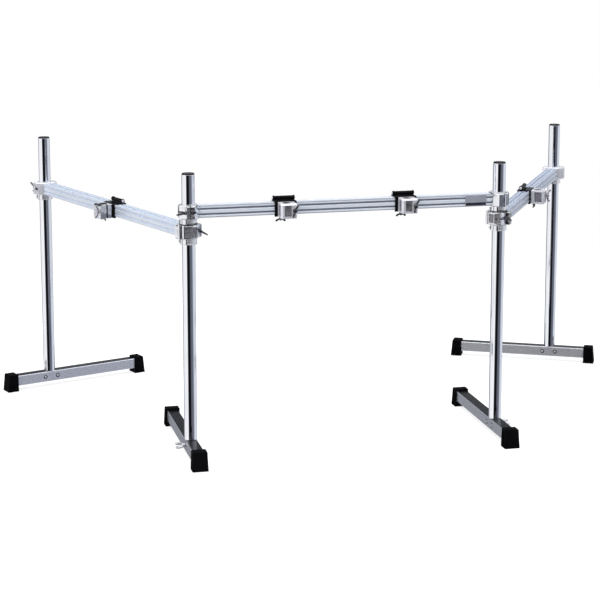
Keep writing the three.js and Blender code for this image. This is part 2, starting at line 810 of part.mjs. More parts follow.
rack.add(postAssembly('front_left', frontLeft, square, 1, {
  front_left_upper: frontBarHeight,
  front_left_lower: wingBarHeight,
}));
rack.add(postAssembly('front_right', frontRight, square, -1, {
  front_right_upper: frontBarHeight,
  front_right_lower: wingBarHeight,
}));
rack.add(postAssembly('outer_left', outerLeft, leftBarTurn + square + footTurn.outer_left, 1, {
  outer_left: wingBarHeight,
}));
rack.add(postAssembly('outer_right', outerRight, rightBarTurn + square + footTurn.outer_right, -1, {
  outer_right: wingBarHeight,
}));

// The origin goes under the middle of the whole rack
const middle = new THREE.Box3().setFromObject(rack, true).getCenter(new THREE.Vector3());
rack.position.set(-middle.x, -middle.y, 0);
rack.updateMatrixWorld(true);

export default rack;
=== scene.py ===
import math

import bmesh
import bpy
import numpy as np
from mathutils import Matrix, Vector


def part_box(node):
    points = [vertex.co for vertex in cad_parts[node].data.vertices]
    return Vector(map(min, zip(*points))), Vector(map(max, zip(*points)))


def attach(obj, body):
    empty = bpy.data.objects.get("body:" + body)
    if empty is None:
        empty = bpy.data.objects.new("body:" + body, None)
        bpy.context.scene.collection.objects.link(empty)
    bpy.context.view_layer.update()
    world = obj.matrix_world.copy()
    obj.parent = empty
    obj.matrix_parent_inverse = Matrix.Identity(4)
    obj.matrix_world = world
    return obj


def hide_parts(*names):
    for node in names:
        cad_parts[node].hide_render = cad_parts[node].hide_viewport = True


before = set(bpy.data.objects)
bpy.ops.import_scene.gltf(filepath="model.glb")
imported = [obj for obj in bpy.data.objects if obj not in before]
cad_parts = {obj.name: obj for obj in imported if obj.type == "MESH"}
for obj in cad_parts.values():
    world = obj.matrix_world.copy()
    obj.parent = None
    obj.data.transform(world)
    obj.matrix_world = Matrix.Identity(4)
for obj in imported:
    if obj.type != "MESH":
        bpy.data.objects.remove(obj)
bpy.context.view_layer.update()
print("frame loaded:", len(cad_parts), "nodes")

mm = 0.001
clearance = 0.3 * mm     # between pieces that meet


def lengths(**values):
    # Named lengths in millimetres, turned into metres
    return {name: value * mm for name, value in values.items()}


up = np.array([0.0, 0.0, 1.0])

# The photograph's point of view, in metres and degrees
viewpoint = {
    "place": (-1.4434, -5.4732, 1.6216),
    "yaw": 13.617,      # to the right of straight ahead
    "pitch": 9.884,     # downwards
    "lens": 108.94,
    "shift": -0.15,
}


def makeCamera():
    data = bpy.data.cameras.new("camera")
    data.lens = viewpoint["lens"]
    data.sensor_width = 36
    data.shift_y = viewpoint["shift"]
    data.clip_end = 60
    camera = bpy.data.objects.new("camera", data)
    camera.location = viewpoint["place"]
    camera.rotation_euler = (math.radians(90 - viewpoint["pitch"]), 0, -math.radians(viewpoint["yaw"]))
    bpy.context.scene.collection.objects.link(camera)
    bpy.context.scene.camera = camera


makeCamera()
bpy.context.scene.view_settings.view_transform = "Standard"


# Places worked out from the frame

def middleOf(node):
    low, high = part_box(node)
    return (np.array(low) + np.array(high)) / 2


def axisOf(node):
    low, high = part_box(node)
    middle = middleOf(node)
    return np.array([middle[0], middle[1], 0.0]), low[2], high[2]


postNames = ["front_left", "front_right", "outer_left", "outer_right"]
postAxis = {name: axisOf(name + "_post")[0] for name in postNames}
barEnds = {
    "front": ("front_left", "front_right", "front_left_upper", "front_right_upper"),
    "left": ("outer_left", "front_left", "outer_left", "front_left_lower"),
    "right": ("front_right", "outer_right", "front_right_lower", "outer_right"),
}


def across(direction):
    return np.array([-direction[1], direction[0], 0.0])


def levelUnit(vector):
    flat = np.array([vector[0], vector[1], 0.0])
    return flat / np.linalg.norm(flat)


barFrame = {}       # name of the bar: start on the left post axis, direction, length
clampFrame = {}     # name of the clamp: post axis at the bar's height, direction into the bar, its body, its post
for barName, (leftPost, rightPost, leftClamp, rightClamp) in barEnds.items():
    height = middleOf(barName + "_bar")[2] * up
    start, end = postAxis[leftPost] + height, postAxis[rightPost] + height
    along = levelUnit(end - start)
    barFrame[barName] = (start, along, np.linalg.norm(end - start))
    clampFrame[leftClamp] = (start, along, barName + "_bar", leftPost)
    clampFrame[rightClamp] = (end, -along, barName + "_bar", rightPost)


# Surfaces: every function gives (points, faces) with the points as an array

def gridPatch(points, capped=True):
    # Rows run along the shape and columns close round it; each row joins the next with quads,
    # and the first and last rows are closed with one face each.
    rows, columns = points.shape[:2]
    index = np.arange(rows * columns).reshape(rows, columns)
    here, beside = index, np.roll(index, -1, axis=1)
    quads = np.stack([here[:-1], beside[:-1], beside[1:], here[1:]], axis=-1).reshape(-1, 4).tolist()
    caps = [index[0][::-1].tolist(), index[-1].tolist()] if capped else []
    return points.reshape(-1, 3), quads + caps


def steadied(line, closed, room=0.4 * mm):
    # A point is put at room from both ends of every run longer than six rooms, so that long runs shade flat.
    step = np.roll(line, -1, axis=0) - line
    length = np.linalg.norm(step, axis=1)
    long = length > 6 * room
    if not closed:
        long[-1] = False
    short = step * (room / np.where(long, length, 1))[:, None]
    rows = np.stack([line, line + short, line + step - short], axis=1)
    return rows[np.stack([np.ones(len(line), bool), long, long], axis=1)]


def turned(profile, count=48):
    # A profile of (radius, height) carried round Z: x = r cos a, y = r sin a, z = height.
    profile = steadied(np.asarray(profile, float), False)
    angle = np.linspace(0, 2 * math.pi, count, endpoint=False)
    radius, height = profile[:, :1], profile[:, 1:]
    points = np.stack([radius * np.cos(angle), radius * np.sin(angle), height + 0 * angle], axis=-1)
    return gridPatch(points)


def rounded(points, radius, steps=4, closed=True):
    # Each corner of an outline is replaced by a parabola that touches both sides at the given distance.
    points = np.asarray(points, float)
    before, after = np.roll(points, 1, axis=0), np.roll(points, -1, axis=0)
    toBefore, toAfter = before - points, after - points
    lengthBefore = np.linalg.norm(toBefore, axis=1, keepdims=True)
    lengthAfter = np.linalg.norm(toAfter, axis=1, keepdims=True)
    reach = np.minimum(radius, np.minimum(lengthBefore, lengthAfter) * 0.49)
    first = points + toBefore / lengthBefore * reach
    last = points + toAfter / lengthAfter * reach
    t = np.linspace(0, 1, steps + 1)[None, :, None]
    curve = first[:, None] * (1 - t) ** 2 + 2 * points[:, None] * t * (1 - t) + last[:, None] * t ** 2
    if closed:
        return steadied(curve.reshape(-1, points.shape[1]), True)
    inner = curve[1:-1].reshape(-1, points.shape[1])
    return np.concatenate([points[:1], inner, points[-1:]])


def inset(outline, distance):
    # An outline moved inwards: each point goes against its outward normal, the side directions averaged.
    ahead = np.roll(outline, -1, axis=0) - outline
    behind = outline - np.roll(outline, 1, axis=0)
    ahead /= np.linalg.norm(ahead, axis=1, keepdims=True) + 1e-12
    behind /= np.linalg.norm(behind, axis=1, keepdims=True) + 1e-12
    along = ahead + behind
    along /= np.linalg.norm(along, axis=1, keepdims=True) + 1e-12
    return outline - distance * np.stack([along[:, 1], -along[:, 0]], axis=-1)


def carried(outline, low, high, rim=0.0, rimSteps=3):
    # An anticlockwise outline carried along Z from low to high; at both ends it draws in by
    # rim (1 - cos q) while it runs the last rim (1 - sin q), so the edges are quarter rounds.
    if rim == 0:
        rows = [(0, low), (0, high)]
    else:
        q = np.linspace(math.pi / 2, 0, rimSteps + 1)
        start = [(rim * (1 - math.cos(a)), low + rim * (1 - math.sin(a))) for a in q]
        rows = steadied(np.array(start + [(draw, low + high - z) for draw, z in reversed(start)]), False)
    layers = [np.column_stack([inset(outline, draw), np.full(len(outline), z)]) for draw, z in rows]
    return gridPatch(np.stack(layers))


def lobe(size, side):
    # A wing of a wing screw: an ellipse carried along a bent line from the hub to the tip. Its width
    # swells and closes as a root of t (1 - t), its thickness falls evenly to the tip.
    t = np.linspace(0, 1, 22)[:, None]
    start = np.array([side * size["root"], 0, size["low"]])
    bend = np.array([side * size["bendOut"], 0, size["bendUp"]])
    tip = np.array([side * size["span"] / 2, 0, size["rise"]])
    line = start * (1 - t) ** 2 + 2 * bend * t * (1 - t) + tip * t ** 2
    tangent = 2 * (bend - start) * (1 - t) + 2 * (tip - bend) * t
    tangent /= np.linalg.norm(tangent, axis=1, keepdims=True)
    normal = np.stack([tangent[:, 2], 0 * tangent[:, 0], -tangent[:, 0]], axis=-1)
    width = size["width"] * (0.75 + 0.5 * t) * np.clip(1 - (2 * t - 1) ** 6, 0, 1) ** 0.5
    thick = size["thick"] * (1.25 - 0.45 * t) * np.clip(1 - (2 * t - 1) ** 8, 0, 1) ** 0.5
    angle = np.linspace(0, 2 * math.pi, 20, endpoint=False)
    flat = np.abs(np.cos(angle)) ** 0.8 * np.sign(np.cos(angle))
    fat = np.abs(np.sin(angle)) ** 0.8 * np.sign(np.sin(angle))
    points = (line[:, None]
              + normal[:, None] * (width * flat)[:, :, None]
              + np.array([0, 1.0, 0]) * (thick * fat)[:, :, None])
    return gridPatch(points)


def placed(patch, origin=(0, 0, 0), x=(1, 0, 0), y=(0, 1, 0), z=None):
    # Moves a patch into a frame given by its origin and axes.
    points, faces = patch
    x, y = np.asarray(x, float), np.asarray(y, float)
    z = np.cross(x, y) if z is None else np.asarray(z, float)
    return points @ np.stack([x, y, z]) + np.asarray(origin, float), faces


def makePiece(name, body, parts, replaced=(), sharp=38):
    # parts is a list of (patch, material); they become one mesh, smooth but for edges over sharp degrees
    mesh = bpy.data.meshes.new(name)
    points, faces, slots, used, offset = [], [], [], [], 0
    for (patchPoints, patchFaces), material in parts:
        if material not in used:
            used.append(material)
        points.append(patchPoints)
        faces += [[corner + offset for corner in face] for face in patchFaces]
        slots += [used.index(material)] * len(patchFaces)
        offset += len(patchPoints)
    mesh.from_pydata(np.concatenate(points).tolist(), [], faces)
    mesh.polygons.foreach_set("material_index", slots)
    for material in used:
        mesh.materials.append(material)
    clean = bmesh.new()
    clean.from_mesh(mesh)
    bmesh.ops.remove_doubles(clean, verts=clean.verts, dist=2e-6)
    bmesh.ops.dissolve_degenerate(clean, dist=1e-7, edges=clean.edges)
    bmesh.ops.recalc_face_normals(clean, faces=clean.faces)
    clean.to_mesh(mesh)
    clean.free()
    return finishPiece(name, mesh, body, replaced, sharp)


def finishPiece(name, mesh, body, replaced, sharp):
    mesh.shade_smooth()
    mesh.set_sharp_from_angle(angle=math.radians(sharp))
    piece = bpy.data.objects.new(name, mesh)
    bpy.context.scene.collection.objects.link(piece)
    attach(piece, body)
    if replaced:
        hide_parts(*replaced)
    return piece


def castingFrom(node, name, body, materials, rim, paint=None, sharp=38):
    # A rounded copy of a solid of the frame: doubles merged, flat faces joined, edges rounded by rim.
    # paint gives each face its place in the list of materials from its middle and its normal.
    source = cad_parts[node].data
    shape = bmesh.new()
    shape.from_mesh(source)
    bmesh.ops.remove_doubles(shape, verts=shape.verts, dist=1e-5)
    bmesh.ops.dissolve_limit(shape, angle_limit=math.radians(1.5), verts=shape.verts, edges=shape.edges)
    mesh = bpy.data.meshes.new(name)
    shape.to_mesh(mesh)
    shape.free()
    mesh.materials.clear()
    for material in materials:
        mesh.materials.append(material)
    count = len(mesh.polygons)
    middles, normals = np.empty(count * 3), np.empty(count * 3)
    mesh.polygons.foreach_get("center", middles)
    mesh.polygons.foreach_get("normal", normals)
    slots = np.zeros(count, int)
    if paint:
        slots = paint(middles.reshape(-1, 3), normals.reshape(-1, 3)).astype(int)
    mesh.polygons.foreach_set("material_index", slots)
    piece = finishPiece(name, mesh, body, [node], sharp)
    edge = piece.modifiers.new("rounded rims", "BEVEL")
    edge.width = rim
    edge.segments = 3
    edge.limit_method = "ANGLE"
    edge.angle_limit = math.radians(34)
    edge.material = 0
    edge.use_clamp_overlap = True
    return piece


# Materials

def newMaterial(name):
    material = bpy.data.materials.new(name)
    material.use_nodes = True
    tree = material.node_tree
    return material, tree, tree.nodes["Principled BSDF"]


def node(tree, kind, **values):
    made = tree.nodes.new(kind)
    for key, value in values.items():
        if key.startswith("_"):
            made.inputs[key[1:]].default_value = value
        else:
            setattr(made, key, value)
    return made


def makeWearGroup():
    # Fine scratches and smudges: outputs a 0..1 smudge mask (which also places the painted glints on the wing screws)
    # and a 0..1 scratch height
    group = bpy.data.node_groups.new("polish wear", "ShaderNodeTree")
    face = group.interface
    face.new_socket("Vector", in_out="INPUT", socket_type="NodeSocketVector")
    face.new_socket("Smudge Scale", in_out="INPUT", socket_type="NodeSocketFloat")
    face.new_socket("Scratch Scale", in_out="INPUT", socket_type="NodeSocketFloat")
    face.new_socket("Smudge", in_out="OUTPUT", socket_type="NodeSocketFloat")
    face.new_socket("Scratch", in_out="OUTPUT", socket_type="NodeSocketFloat")
    enter = group.nodes.new("NodeGroupInput")
    leave = group.nodes.new("NodeGroupOutput")
    cloud = node(group, "ShaderNodeTexNoise", _Detail=5.0, _Roughness=0.62)
    soft = node(group, "ShaderNodeMapRange", interpolation_type="SMOOTHSTEP")
    soft.inputs["From Min"].default_value = 0.42
    soft.inputs["From Max"].default_value = 0.72
    lines = node(group, "ShaderNodeTexNoise", _Detail=8.0, _Roughness=0.75, _Distortion=0.4)
    link = group.links.new
    link(enter.outputs["Vector"], cloud.inputs["Vector"])
    link(enter.outputs["Smudge Scale"], cloud.inputs["Scale"])
    link(cloud.outputs["Fac"], soft.inputs["Value"])
    link(enter.outputs["Vector"], lines.inputs["Vector"])
    link(enter.outputs["Scratch Scale"], lines.inputs["Scale"])
    link(soft.outputs["Result"], leave.inputs["Smudge"])
    link(lines.outputs["Fac"], leave.inputs["Scratch"])
    return group


def makeBrushGroup():
    # Brushing: noise stretched along one axis, as a 0..1 value
    group = bpy.data.node_groups.new("brushed lines", "ShaderNodeTree")
    face = group.interface
    face.new_socket("Vector", in_out="INPUT", socket_type="NodeSocketVector")
    face.new_socket("Fineness", in_out="INPUT", socket_type="NodeSocketFloat")
    face.new_socket("Lines", in_out="OUTPUT", socket_type="NodeSocketFloat")
    enter = group.nodes.new("NodeGroupInput")
    leave = group.nodes.new("NodeGroupOutput")
    lines = node(group, "ShaderNodeTexNoise", _Detail=4.0, _Roughness=0.7)
    link = group.links.new
    link(enter.outputs["Vector"], lines.inputs["Vector"])
    link(enter.outputs["Fineness"], lines.inputs["Scale"])
    link(lines.outputs["Fac"], leave.inputs["Lines"])
    return group


wearGroup = makeWearGroup()
brushGroup = makeBrushGroup()


def useGroup(tree, group, **values):
    made = tree.nodes.new("ShaderNodeGroup")
    made.node_tree = group
    for key, value in values.items():
        made.inputs[key.replace("_", " ")].default_value = value
    return made


def rampNode(tree, stops, interpolation="LINEAR"):
    made = tree.nodes.new("ShaderNodeValToRGB")
    made.color_ramp.interpolation = interpolation
    elements = made.color_ramp.elements
    while len(elements) > 1:
        elements.remove(elements[0])
    elements[0].position, elements[0].color = stops[0][0], (*stops[0][1], 1)
    for position, colour in stops[1:]:
        elements.new(position).color = (*colour, 1)
    return made


def metal(name, look):
    # Plated or bare metal: colour and roughness drift with the smudges (on the wing screws these patches are painted
    # glints and painted reflections), scratches make a faint bump
    material, tree, surface = newMaterial(name)
    link = tree.links.new
    place = node(tree, "ShaderNodeTexCoord")
    source = place.outputs["Object"]
    if "brush" in look:
        mapping = node(tree, "ShaderNodeMapping", _Rotation=(0, 0, look.get("turn", 0)), _Scale=look["brush"])
        link(source, mapping.inputs["Vector"])
        brushed = useGroup(tree, brushGroup, Fineness=look["fineness"])
        link(mapping.outputs["Vector"], brushed.inputs["Vector"])
    wear = useGroup(tree, wearGroup, Smudge_Scale=look["smudgeScale"], Scratch_Scale=look["scratchScale"])
    link(source, wear.inputs["Vector"])
    colour = rampNode(tree, [(0.0, look["colour"]), (1.0, look["wornAndGlint"])])
    link(wear.outputs["Smudge"], colour.inputs["Fac"])
    link(colour.outputs["Color"], surface.inputs["Base Color"])
    rough = node(tree, "ShaderNodeMapRange")
    rough.inputs["To Min"].default_value = look["rough"]
    rough.inputs["To Max"].default_value = look["rough"] + look["roughDrift"]
    link(wear.outputs["Smudge"], rough.inputs["Value"])
    link(rough.outputs["Result"], surface.inputs["Roughness"])
    bump = node(tree, "ShaderNodeBump", _Strength=look["bump"], _Distance=look.get("bumpDepth", 0.0002))
    link(brushed.outputs["Lines"] if "brush" in look else wear.outputs["Scratch"], bump.inputs["Height"])
    link(bump.outputs["Normal"], surface.inputs["Normal"])
    surface.inputs["Metallic"].default_value = look.get("metallic", 1.0)
    if "anisotropic" in look:
        surface.inputs["Anisotropic"].default_value = look["anisotropic"]
    return material


def moulded(name, look):
    # Rubber or nylon: fine grain in the bump, dusty lighter patches in the colour
    material, tree, surface = newMaterial(name)
    link = tree.links.new
    place = node(tree, "ShaderNodeTexCoord")
    grain = node(tree, "ShaderNodeTexNoise", _Scale=look["grain"], _Detail=6.0, _Roughness=0.6)
    dust = node(tree, "ShaderNodeTexNoise", _Scale=look["dust"], _Detail=3.0)
    link(place.outputs["Object"], grain.inputs["Vector"])
    link(place.outputs["Object"], dust.inputs["Vector"])
    colour = rampNode(tree, [(0.35, look["colour"]), (0.75, look["wornAndGlint"])])
    link(dust.outputs["Fac"], colour.inputs["Fac"])
    link(colour.outputs["Color"], surface.inputs["Base Color"])
    rough = node(tree, "ShaderNodeMapRange")
    rough.inputs["To Min"].default_value = look["rough"] - 0.08
    rough.inputs["To Max"].default_value = look["rough"] + 0.1
    link(grain.outputs["Fac"], rough.inputs["Value"])
    link(rough.outputs["Result"], surface.inputs["Roughness"])
    bump = node(tree, "ShaderNodeBump", _Strength=look["bump"], _Distance=0.0004)
    link(grain.outputs["Fac"], bump.inputs["Height"])
    link(bump.outputs["Normal"], surface.inputs["Normal"])
    surface.inputs["Specular IOR Level"].default_value = look["gloss"]
    return material


chromeLook = {"colour": (0.86, 0.87, 0.89), "wornAndGlint": (0.80, 0.81, 0.84), "rough": 0.03, "roughDrift": 0.03,
              "smudgeScale": 9.0, "scratchScale": 260.0, "bump": 0.01}
castLook = {"colour": (0.84, 0.84, 0.85), "wornAndGlint": (0.74, 0.74, 0.76), "rough": 0.13, "roughDrift": 0.1,
            "smudgeScale": 60.0, "scratchScale": 420.0, "bump": 0.05}
satinLook = {"colour": (0.70, 0.70, 0.74), "wornAndGlint": (0.56, 0.56, 0.61), "rough": 0.3, "roughDrift": 0.1,
             "smudgeScale": 60.0, "scratchScale": 420.0, "bump": 0.06, "metallic": 0.5}
panelLook = {"colour": (0.26, 0.255, 0.27), "wornAndGlint": (0.035, 0.035, 0.04), "rough": 0.42, "roughDrift": 0.18,
             "smudgeScale": 170.0, "scratchScale": 900.0, "bump": 0.3, "metallic": 0.6}
sidePanelLook = {**panelLook, "colour": (0.24, 0.23, 0.27), "wornAndGlint": (0.13, 0.125, 0.15), "bump": 0.15}
# Painted reflection: a pale copy of the sunk panel for the outer clamps and the left bar's holder
paleReflectionPanelLook = {**panelLook, "colour": (0.68, 0.69, 0.74), "wornAndGlint": (0.44, 0.45, 0.50), "bump": 0.15}
# Painted shade: near black for the faces inside splits, bores and slits and for the countersink rims, where shade falls
paintedShadeBlackLook = {"colour": (0.006, 0.006, 0.007), "wornAndGlint": (0.012, 0.012, 0.013), "rough": 0.6, "roughDrift": 0.15,
             "smudgeScale": 90.0, "scratchScale": 900.0, "bump": 0.2, "metallic": 0.2}
barLook = {"colour": (0.87, 0.93, 1.0), "wornAndGlint": (0.80, 0.86, 0.95), "rough": 0.32, "roughDrift": 0.08,
           "smudgeScale": 5.0, "scratchScale": 300.0, "bump": 0.06, "metallic": 0.45, "fineness": 900.0}
# Painted shade: the grooves, arrises and tops of the bars take darker copies of the bar's colour, set per bar
grooveShadeLook = {"colour": (0.28, 0.30, 0.37), "wornAndGlint": (0.33, 0.35, 0.42), "rough": 0.34, "roughDrift": 0.08,
              "smudgeScale": 20.0, "scratchScale": 300.0, "bump": 0.06, "metallic": 0.8}
wingGrooveShadeLook = {**grooveShadeLook, "colour": (0.58, 0.65, 0.79), "wornAndGlint": (0.54, 0.61, 0.74), "metallic": 0.4}
footLook = {"colour": (0.56, 0.57, 0.62), "wornAndGlint": (0.51, 0.52, 0.57), "rough": 0.24, "roughDrift": 0.06,
            "smudgeScale": 6.0, "scratchScale": 300.0, "bump": 0.06, "fineness": 700.0, "metallic": 0.85}
# Painted reflection: the tops of the feet are near black for the dark space they mirror
footTopReflectionLook = {**footLook, "colour": (0.026, 0.028, 0.034), "wornAndGlint": (0.020, 0.022, 0.027), "rough": 0.2}
# Painted reflection: the dark wing screws are near black for the dark surroundings they mirror, and their bright smudge
# patches are painted glints; the bright ones are chrome with dark patches as painted reflection
darkReflectionWingLook = {"colour": (0.04, 0.04, 0.045), "wornAndGlint": (0.36, 0.36, 0.38), "rough": 0.06, "roughDrift": 0.08,
            "smudgeScale": 110.0, "scratchScale": 500.0, "bump": 0.06}
brightReflectionWingLook = {**darkReflectionWingLook, "colour": (0.80, 0.80, 0.83), "wornAndGlint": (0.20, 0.20, 0.22)}
plateLook = {"colour": (0.40, 0.41, 0.47), "wornAndGlint": (0.34, 0.35, 0.41), "rough": 0.3, "roughDrift": 0.1,
             "smudgeScale": 30.0, "scratchScale": 700.0, "bump": 0.1, "metallic": 0.35}
bandLook = {"colour": (0.10, 0.11, 0.13), "wornAndGlint": (0.14, 0.15, 0.17), "rough": 0.35, "roughDrift": 0.1,
            "smudgeScale": 60.0, "scratchScale": 700.0, "bump": 0.1}

chrome = metal("chrome plate", chromeLook)
casting = metal("chromed casting", castLook)
satinCasting = metal("satin casting", satinLook)
panelDark = metal("sunk panel", panelLook)
sidePanelMetal = metal("grained side panel", sidePanelLook)
paleReflectionPanel = metal("pale panel painted reflection", paleReflectionPanelLook)
paintedShadeBlack = metal("painted shade black", paintedShadeBlackLook)
darkReflectionWing = metal("wing screw plate", darkReflectionWingLook)
brightReflectionWing = metal("bright wing screw plate", brightReflectionWingLook)
grooveShadeMetal = {"front": metal("front bar groove painted shade", grooveShadeLook), "left": metal("left bar groove painted shade", wingGrooveShadeLook)}
grooveShadeMetal["right"] = metal("right bar groove painted shade", {**wingGrooveShadeLook, "colour": (0.44, 0.49, 0.60),
                                                  "wornAndGlint": (0.41, 0.46, 0.56)})
arrisShadeMetal = {"front": metal("front bar arris painted shade", {**grooveShadeLook, "colour": (0.46, 0.48, 0.54),
                                                 "wornAndGlint": (0.40, 0.42, 0.48)}),
              "left": metal("left bar arris painted shade", {**wingGrooveShadeLook, "colour": (0.56, 0.61, 0.69)}),
              "right": metal("right bar arris painted shade", {**wingGrooveShadeLook, "colour": (0.44, 0.49, 0.58)})}
plateSatin = metal("satin plate", plateLook)
plateBand = metal("dark band", bandLook)
rubber = moulded("boot rubber", {"colour": (0.0015, 0.0015, 0.002), "wornAndGlint": (0.004, 0.004, 0.005), "rough": 0.5,
                                 "grain": 900.0, "dust": 18.0, "bump": 0.12, "gloss": 0.01})
nylon = moulded("black nylon", {"colour": (0.0025, 0.0025, 0.003), "wornAndGlint": (0.006, 0.006, 0.007), "rough": 0.3,
                                "grain": 700.0, "dust": 30.0, "bump": 0.08, "gloss": 0.08})
capPlastic = moulded("cap plastic", {"colour": (0.004, 0.004, 0.006), "wornAndGlint": (0.010, 0.010, 0.012), "rough": 0.42,
                                     "grain": 800.0, "dust": 40.0, "bump": 0.1, "gloss": 0.05})
capFace = moulded("cap face", {"colour": (0.022, 0.022, 0.026), "wornAndGlint": (0.045, 0.045, 0.05), "rough": 0.5,
                               "grain": 800.0, "dust": 50.0, "bump": 0.15, "gloss": 0.2})
barMetal = {}
barTopShadeMetal = {}
# Painted light: each bar's sides and top are set lighter or darker for the light each bar catches
barPaintedLight = {"front": {"side": 1.0, "top": (0.60, 0.64, 0.70)}, "left": {"side": 0.73, "top": (0.36, 0.42, 0.50)},
             "right": {"side": 0.66, "top": (0.27, 0.32, 0.42)}}


def turnOf(direction):
    return math.atan2(direction[1], direction[0])


def shaded(colour, share):
    return tuple(share * value for value in colour)


for barName, (start, along, length) in barFrame.items():
    brushing = {"turn": -turnOf(along), "brush": (0.03, 1, 1)}
    shade, top = barPaintedLight[barName]["side"], barPaintedLight[barName]["top"]
    sideColours = {"colour": shaded(barLook["colour"], shade), "wornAndGlint": shaded(barLook["wornAndGlint"], shade)}
    barMetal[barName] = metal(barName + " bar anodised", {**barLook, **sideColours, **brushing})
    barTopShadeMetal[barName] = metal(barName + " bar top", {**barLook, "colour": top, "wornAndGlint": shaded(top, 0.9), **brushing})
print("materials made")


# Posts with their caps

postLook = {**lengths(rim=0.9, capRim=0.7, capSink=0.5, holeRadius=2.4, holeRise=28, wall=1.6, capIn=1.05,
                      capHeight=3.2, capRing=4.2, capDip=4.9, capDisc=4.6),
            "sides": 96, "holeTurn": {"front_left": 90, "front_right": 90, "outer_left": 217, "outer_right": 295}}


def makePost(name):
    low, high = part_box(name + "_post")
    radius = (high[0] - low[0]) / 2
    axis = postAxis[name]
    capRadius, capHeight, rim = radius - postLook["capIn"], postLook["capHeight"], postLook["rim"]
    tubeTop = high[2] - capHeight
    q = np.linspace(0, math.pi / 2, 5)
    bottomEdge = np.column_stack([radius - rim + rim * np.sin(q), low[2] + rim - rim * np.cos(q)])
    topEdge = np.column_stack([radius - rim + rim * np.cos(q), tubeTop - rim + rim * np.sin(q)])
    tube = turned([(radius - postLook["wall"], low[2] + 0.05 * mm), *bottomEdge, *topEdge,
                   (radius - postLook["wall"], tubeTop)], postLook["sides"])
    # The hole is a thin dark disc on the tube: its dark is painted shade of the hole's depth
    hole = turned([(postLook["holeRadius"] * 1.25, 0), (postLook["holeRadius"] * 1.2, 0.35 * mm),
                   (postLook["holeRadius"], 0.4 * mm), (postLook["holeRadius"] * 0.9, 0.1 * mm)], 24)
    turn = math.radians(postLook["holeTurn"][name])
    holeSide = np.array([math.cos(turn), math.sin(turn), 0])
    holeOrigin = axis + holeSide * (radius - 0.25 * mm) + (low[2] + postLook["holeRise"]) * up
    parts = [(placed(tube, axis), chrome)]
    parts.append((placed(hole, holeOrigin, across(holeSide), up, holeSide), panelDark))
    makePiece(name + "_post_tube", name + "_post", parts, [name + "_post"])
    c = postLook["capRim"]
    capEdge = np.column_stack([capRadius - c + c * np.cos(q), high[2] - c + c * np.sin(q)])
    sink = postLook["capSink"]
    cap = turned([(capRadius - 2 * mm, tubeTop - 1 * mm), (capRadius, tubeTop - 1 * mm), *capEdge,
                  (capRadius - postLook["capRing"], high[2]),
                  (capRadius - postLook["capDip"], high[2] - sink)], 72)
    discRadius = capRadius - postLook["capDisc"]
    disc = turned([(discRadius, high[2] - 1.2 * mm), (discRadius, high[2] - sink),
                   (0.0, high[2] - sink * 0.6)], 72)
    makePiece(name + "_post_cap", name + "_post", [(placed(cap, axis), capPlastic), (placed(disc, axis), capFace)])


for name in postNames:
    makePost(name)
print("posts made")


# Square grooved bars

barLookShape = {**lengths(corner=2.6, groove=7.2, depth=1.7, lip=0.8, start=28.3), "grooveShare": 0.285}


def grooveOutline(size):
    # One face of the section with its two grooves, turned to the four sides, corners and lips rounded.
    half = size / 2
    offset = half - size * barLookShape["grooveShare"]
    g, d, corner, lip = barLookShape["groove"] / 2, barLookShape["depth"], barLookShape["corner"], barLookShape["lip"]
    face = [(half, -half)]
    for centre in (-offset, offset):
        face += [(half, centre - g), (half - d, centre - g * 0.5), (half - d, centre + g * 0.5), (half, centre + g)]
    face = np.array(face)
    reach = np.array([corner] + [lip] * 8)
    turns = [np.array([[math.cos(a), math.sin(a)], [-math.sin(a), math.cos(a)]])
             for a in np.arange(4) * math.pi / 2]
    outline = np.concatenate([face @ turn for turn in turns])
    return rounded(outline, np.tile(reach, 4)[:, None], 4)


def paintBarShade(mesh, start, along, size, materials):
    # Faces under the skin of the section near a groove, at its four corners and on top take their own materials: darker
    # colours as painted shade
    for material in materials:
        mesh.materials.append(material)
    centres = np.empty(len(mesh.polygons) * 3)
    mesh.polygons.foreach_get("center", centres)
    centres = centres.reshape(-1, 3) - start
    normals = np.empty(len(mesh.polygons) * 3)
    mesh.polygons.foreach_get("normal", normals)
    top = normals.reshape(-1, 3)[:, 2] > 0.95
    side, rise = np.abs(centres @ across(along)), np.abs(centres[:, 2])
    deep, wide = np.maximum(side, rise), np.minimum(side, rise)
    offset = size / 2 - size * barLookShape["grooveShare"]
    sunk = (deep < size / 2 - 0.5 * mm) & (np.abs(wide - offset) < barLookShape["groove"] * 0.6)
    corner = wide > size / 2 - barLookShape["corner"] * 0.8
    mesh.polygons.foreach_set("material_index", np.where(sunk, 1, np.where(corner, 2, np.where(top, 3, 0))))


def makeBar(name):
    start, along, length = barFrame[name]
    nodeName = name + "_bar"
    low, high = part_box(nodeName)
    size = high[2] - low[2]
    clampGap = barLookShape["start"]
    outline = grooveOutline(size)
    bar = placed(carried(outline, clampGap, length - clampGap, 0.35 * mm, 2), start, across(along), up, along)
    piece = makePiece(name + "_bar_extrusion", nodeName, [(bar, barMetal[name])], [nodeName], sharp=50)
    paintBarShade(piece.data, start, along, size, [grooveShadeMetal[name], arrisShadeMetal[name], barTopShadeMetal[name]])


for barName in barFrame:
    makeBar(barName)
print("bars made")


# Feet: square tube, screws, rubber boots

footShape = {**lengths(corner=3.2, inset=7.3, screwPlace=22, screwRadius=3.3, screwDome=1.4, sinkRadius=7),
             "wingRoll": 25}
# Painted light: each foot's sides are made lighter or darker by these shares
footPaintedLight = {"front_left": 0.9, "front_right": 1.0, "outer_left": 1.55, "outer_right": 1.75}
bootLook = {**lengths(length=36, bottomWidth=48, topWidth=43, tooth=5.0, taper=5, round=2.4, height=56.5, corner=1.3),
            "teeth": 4}


def roundedRectangle(width, height, corner, steps=6):
    w, h = width / 2, height / 2
    return rounded([(w, -h), (w, h), (-w, h), (-w, -h)], corner, steps)


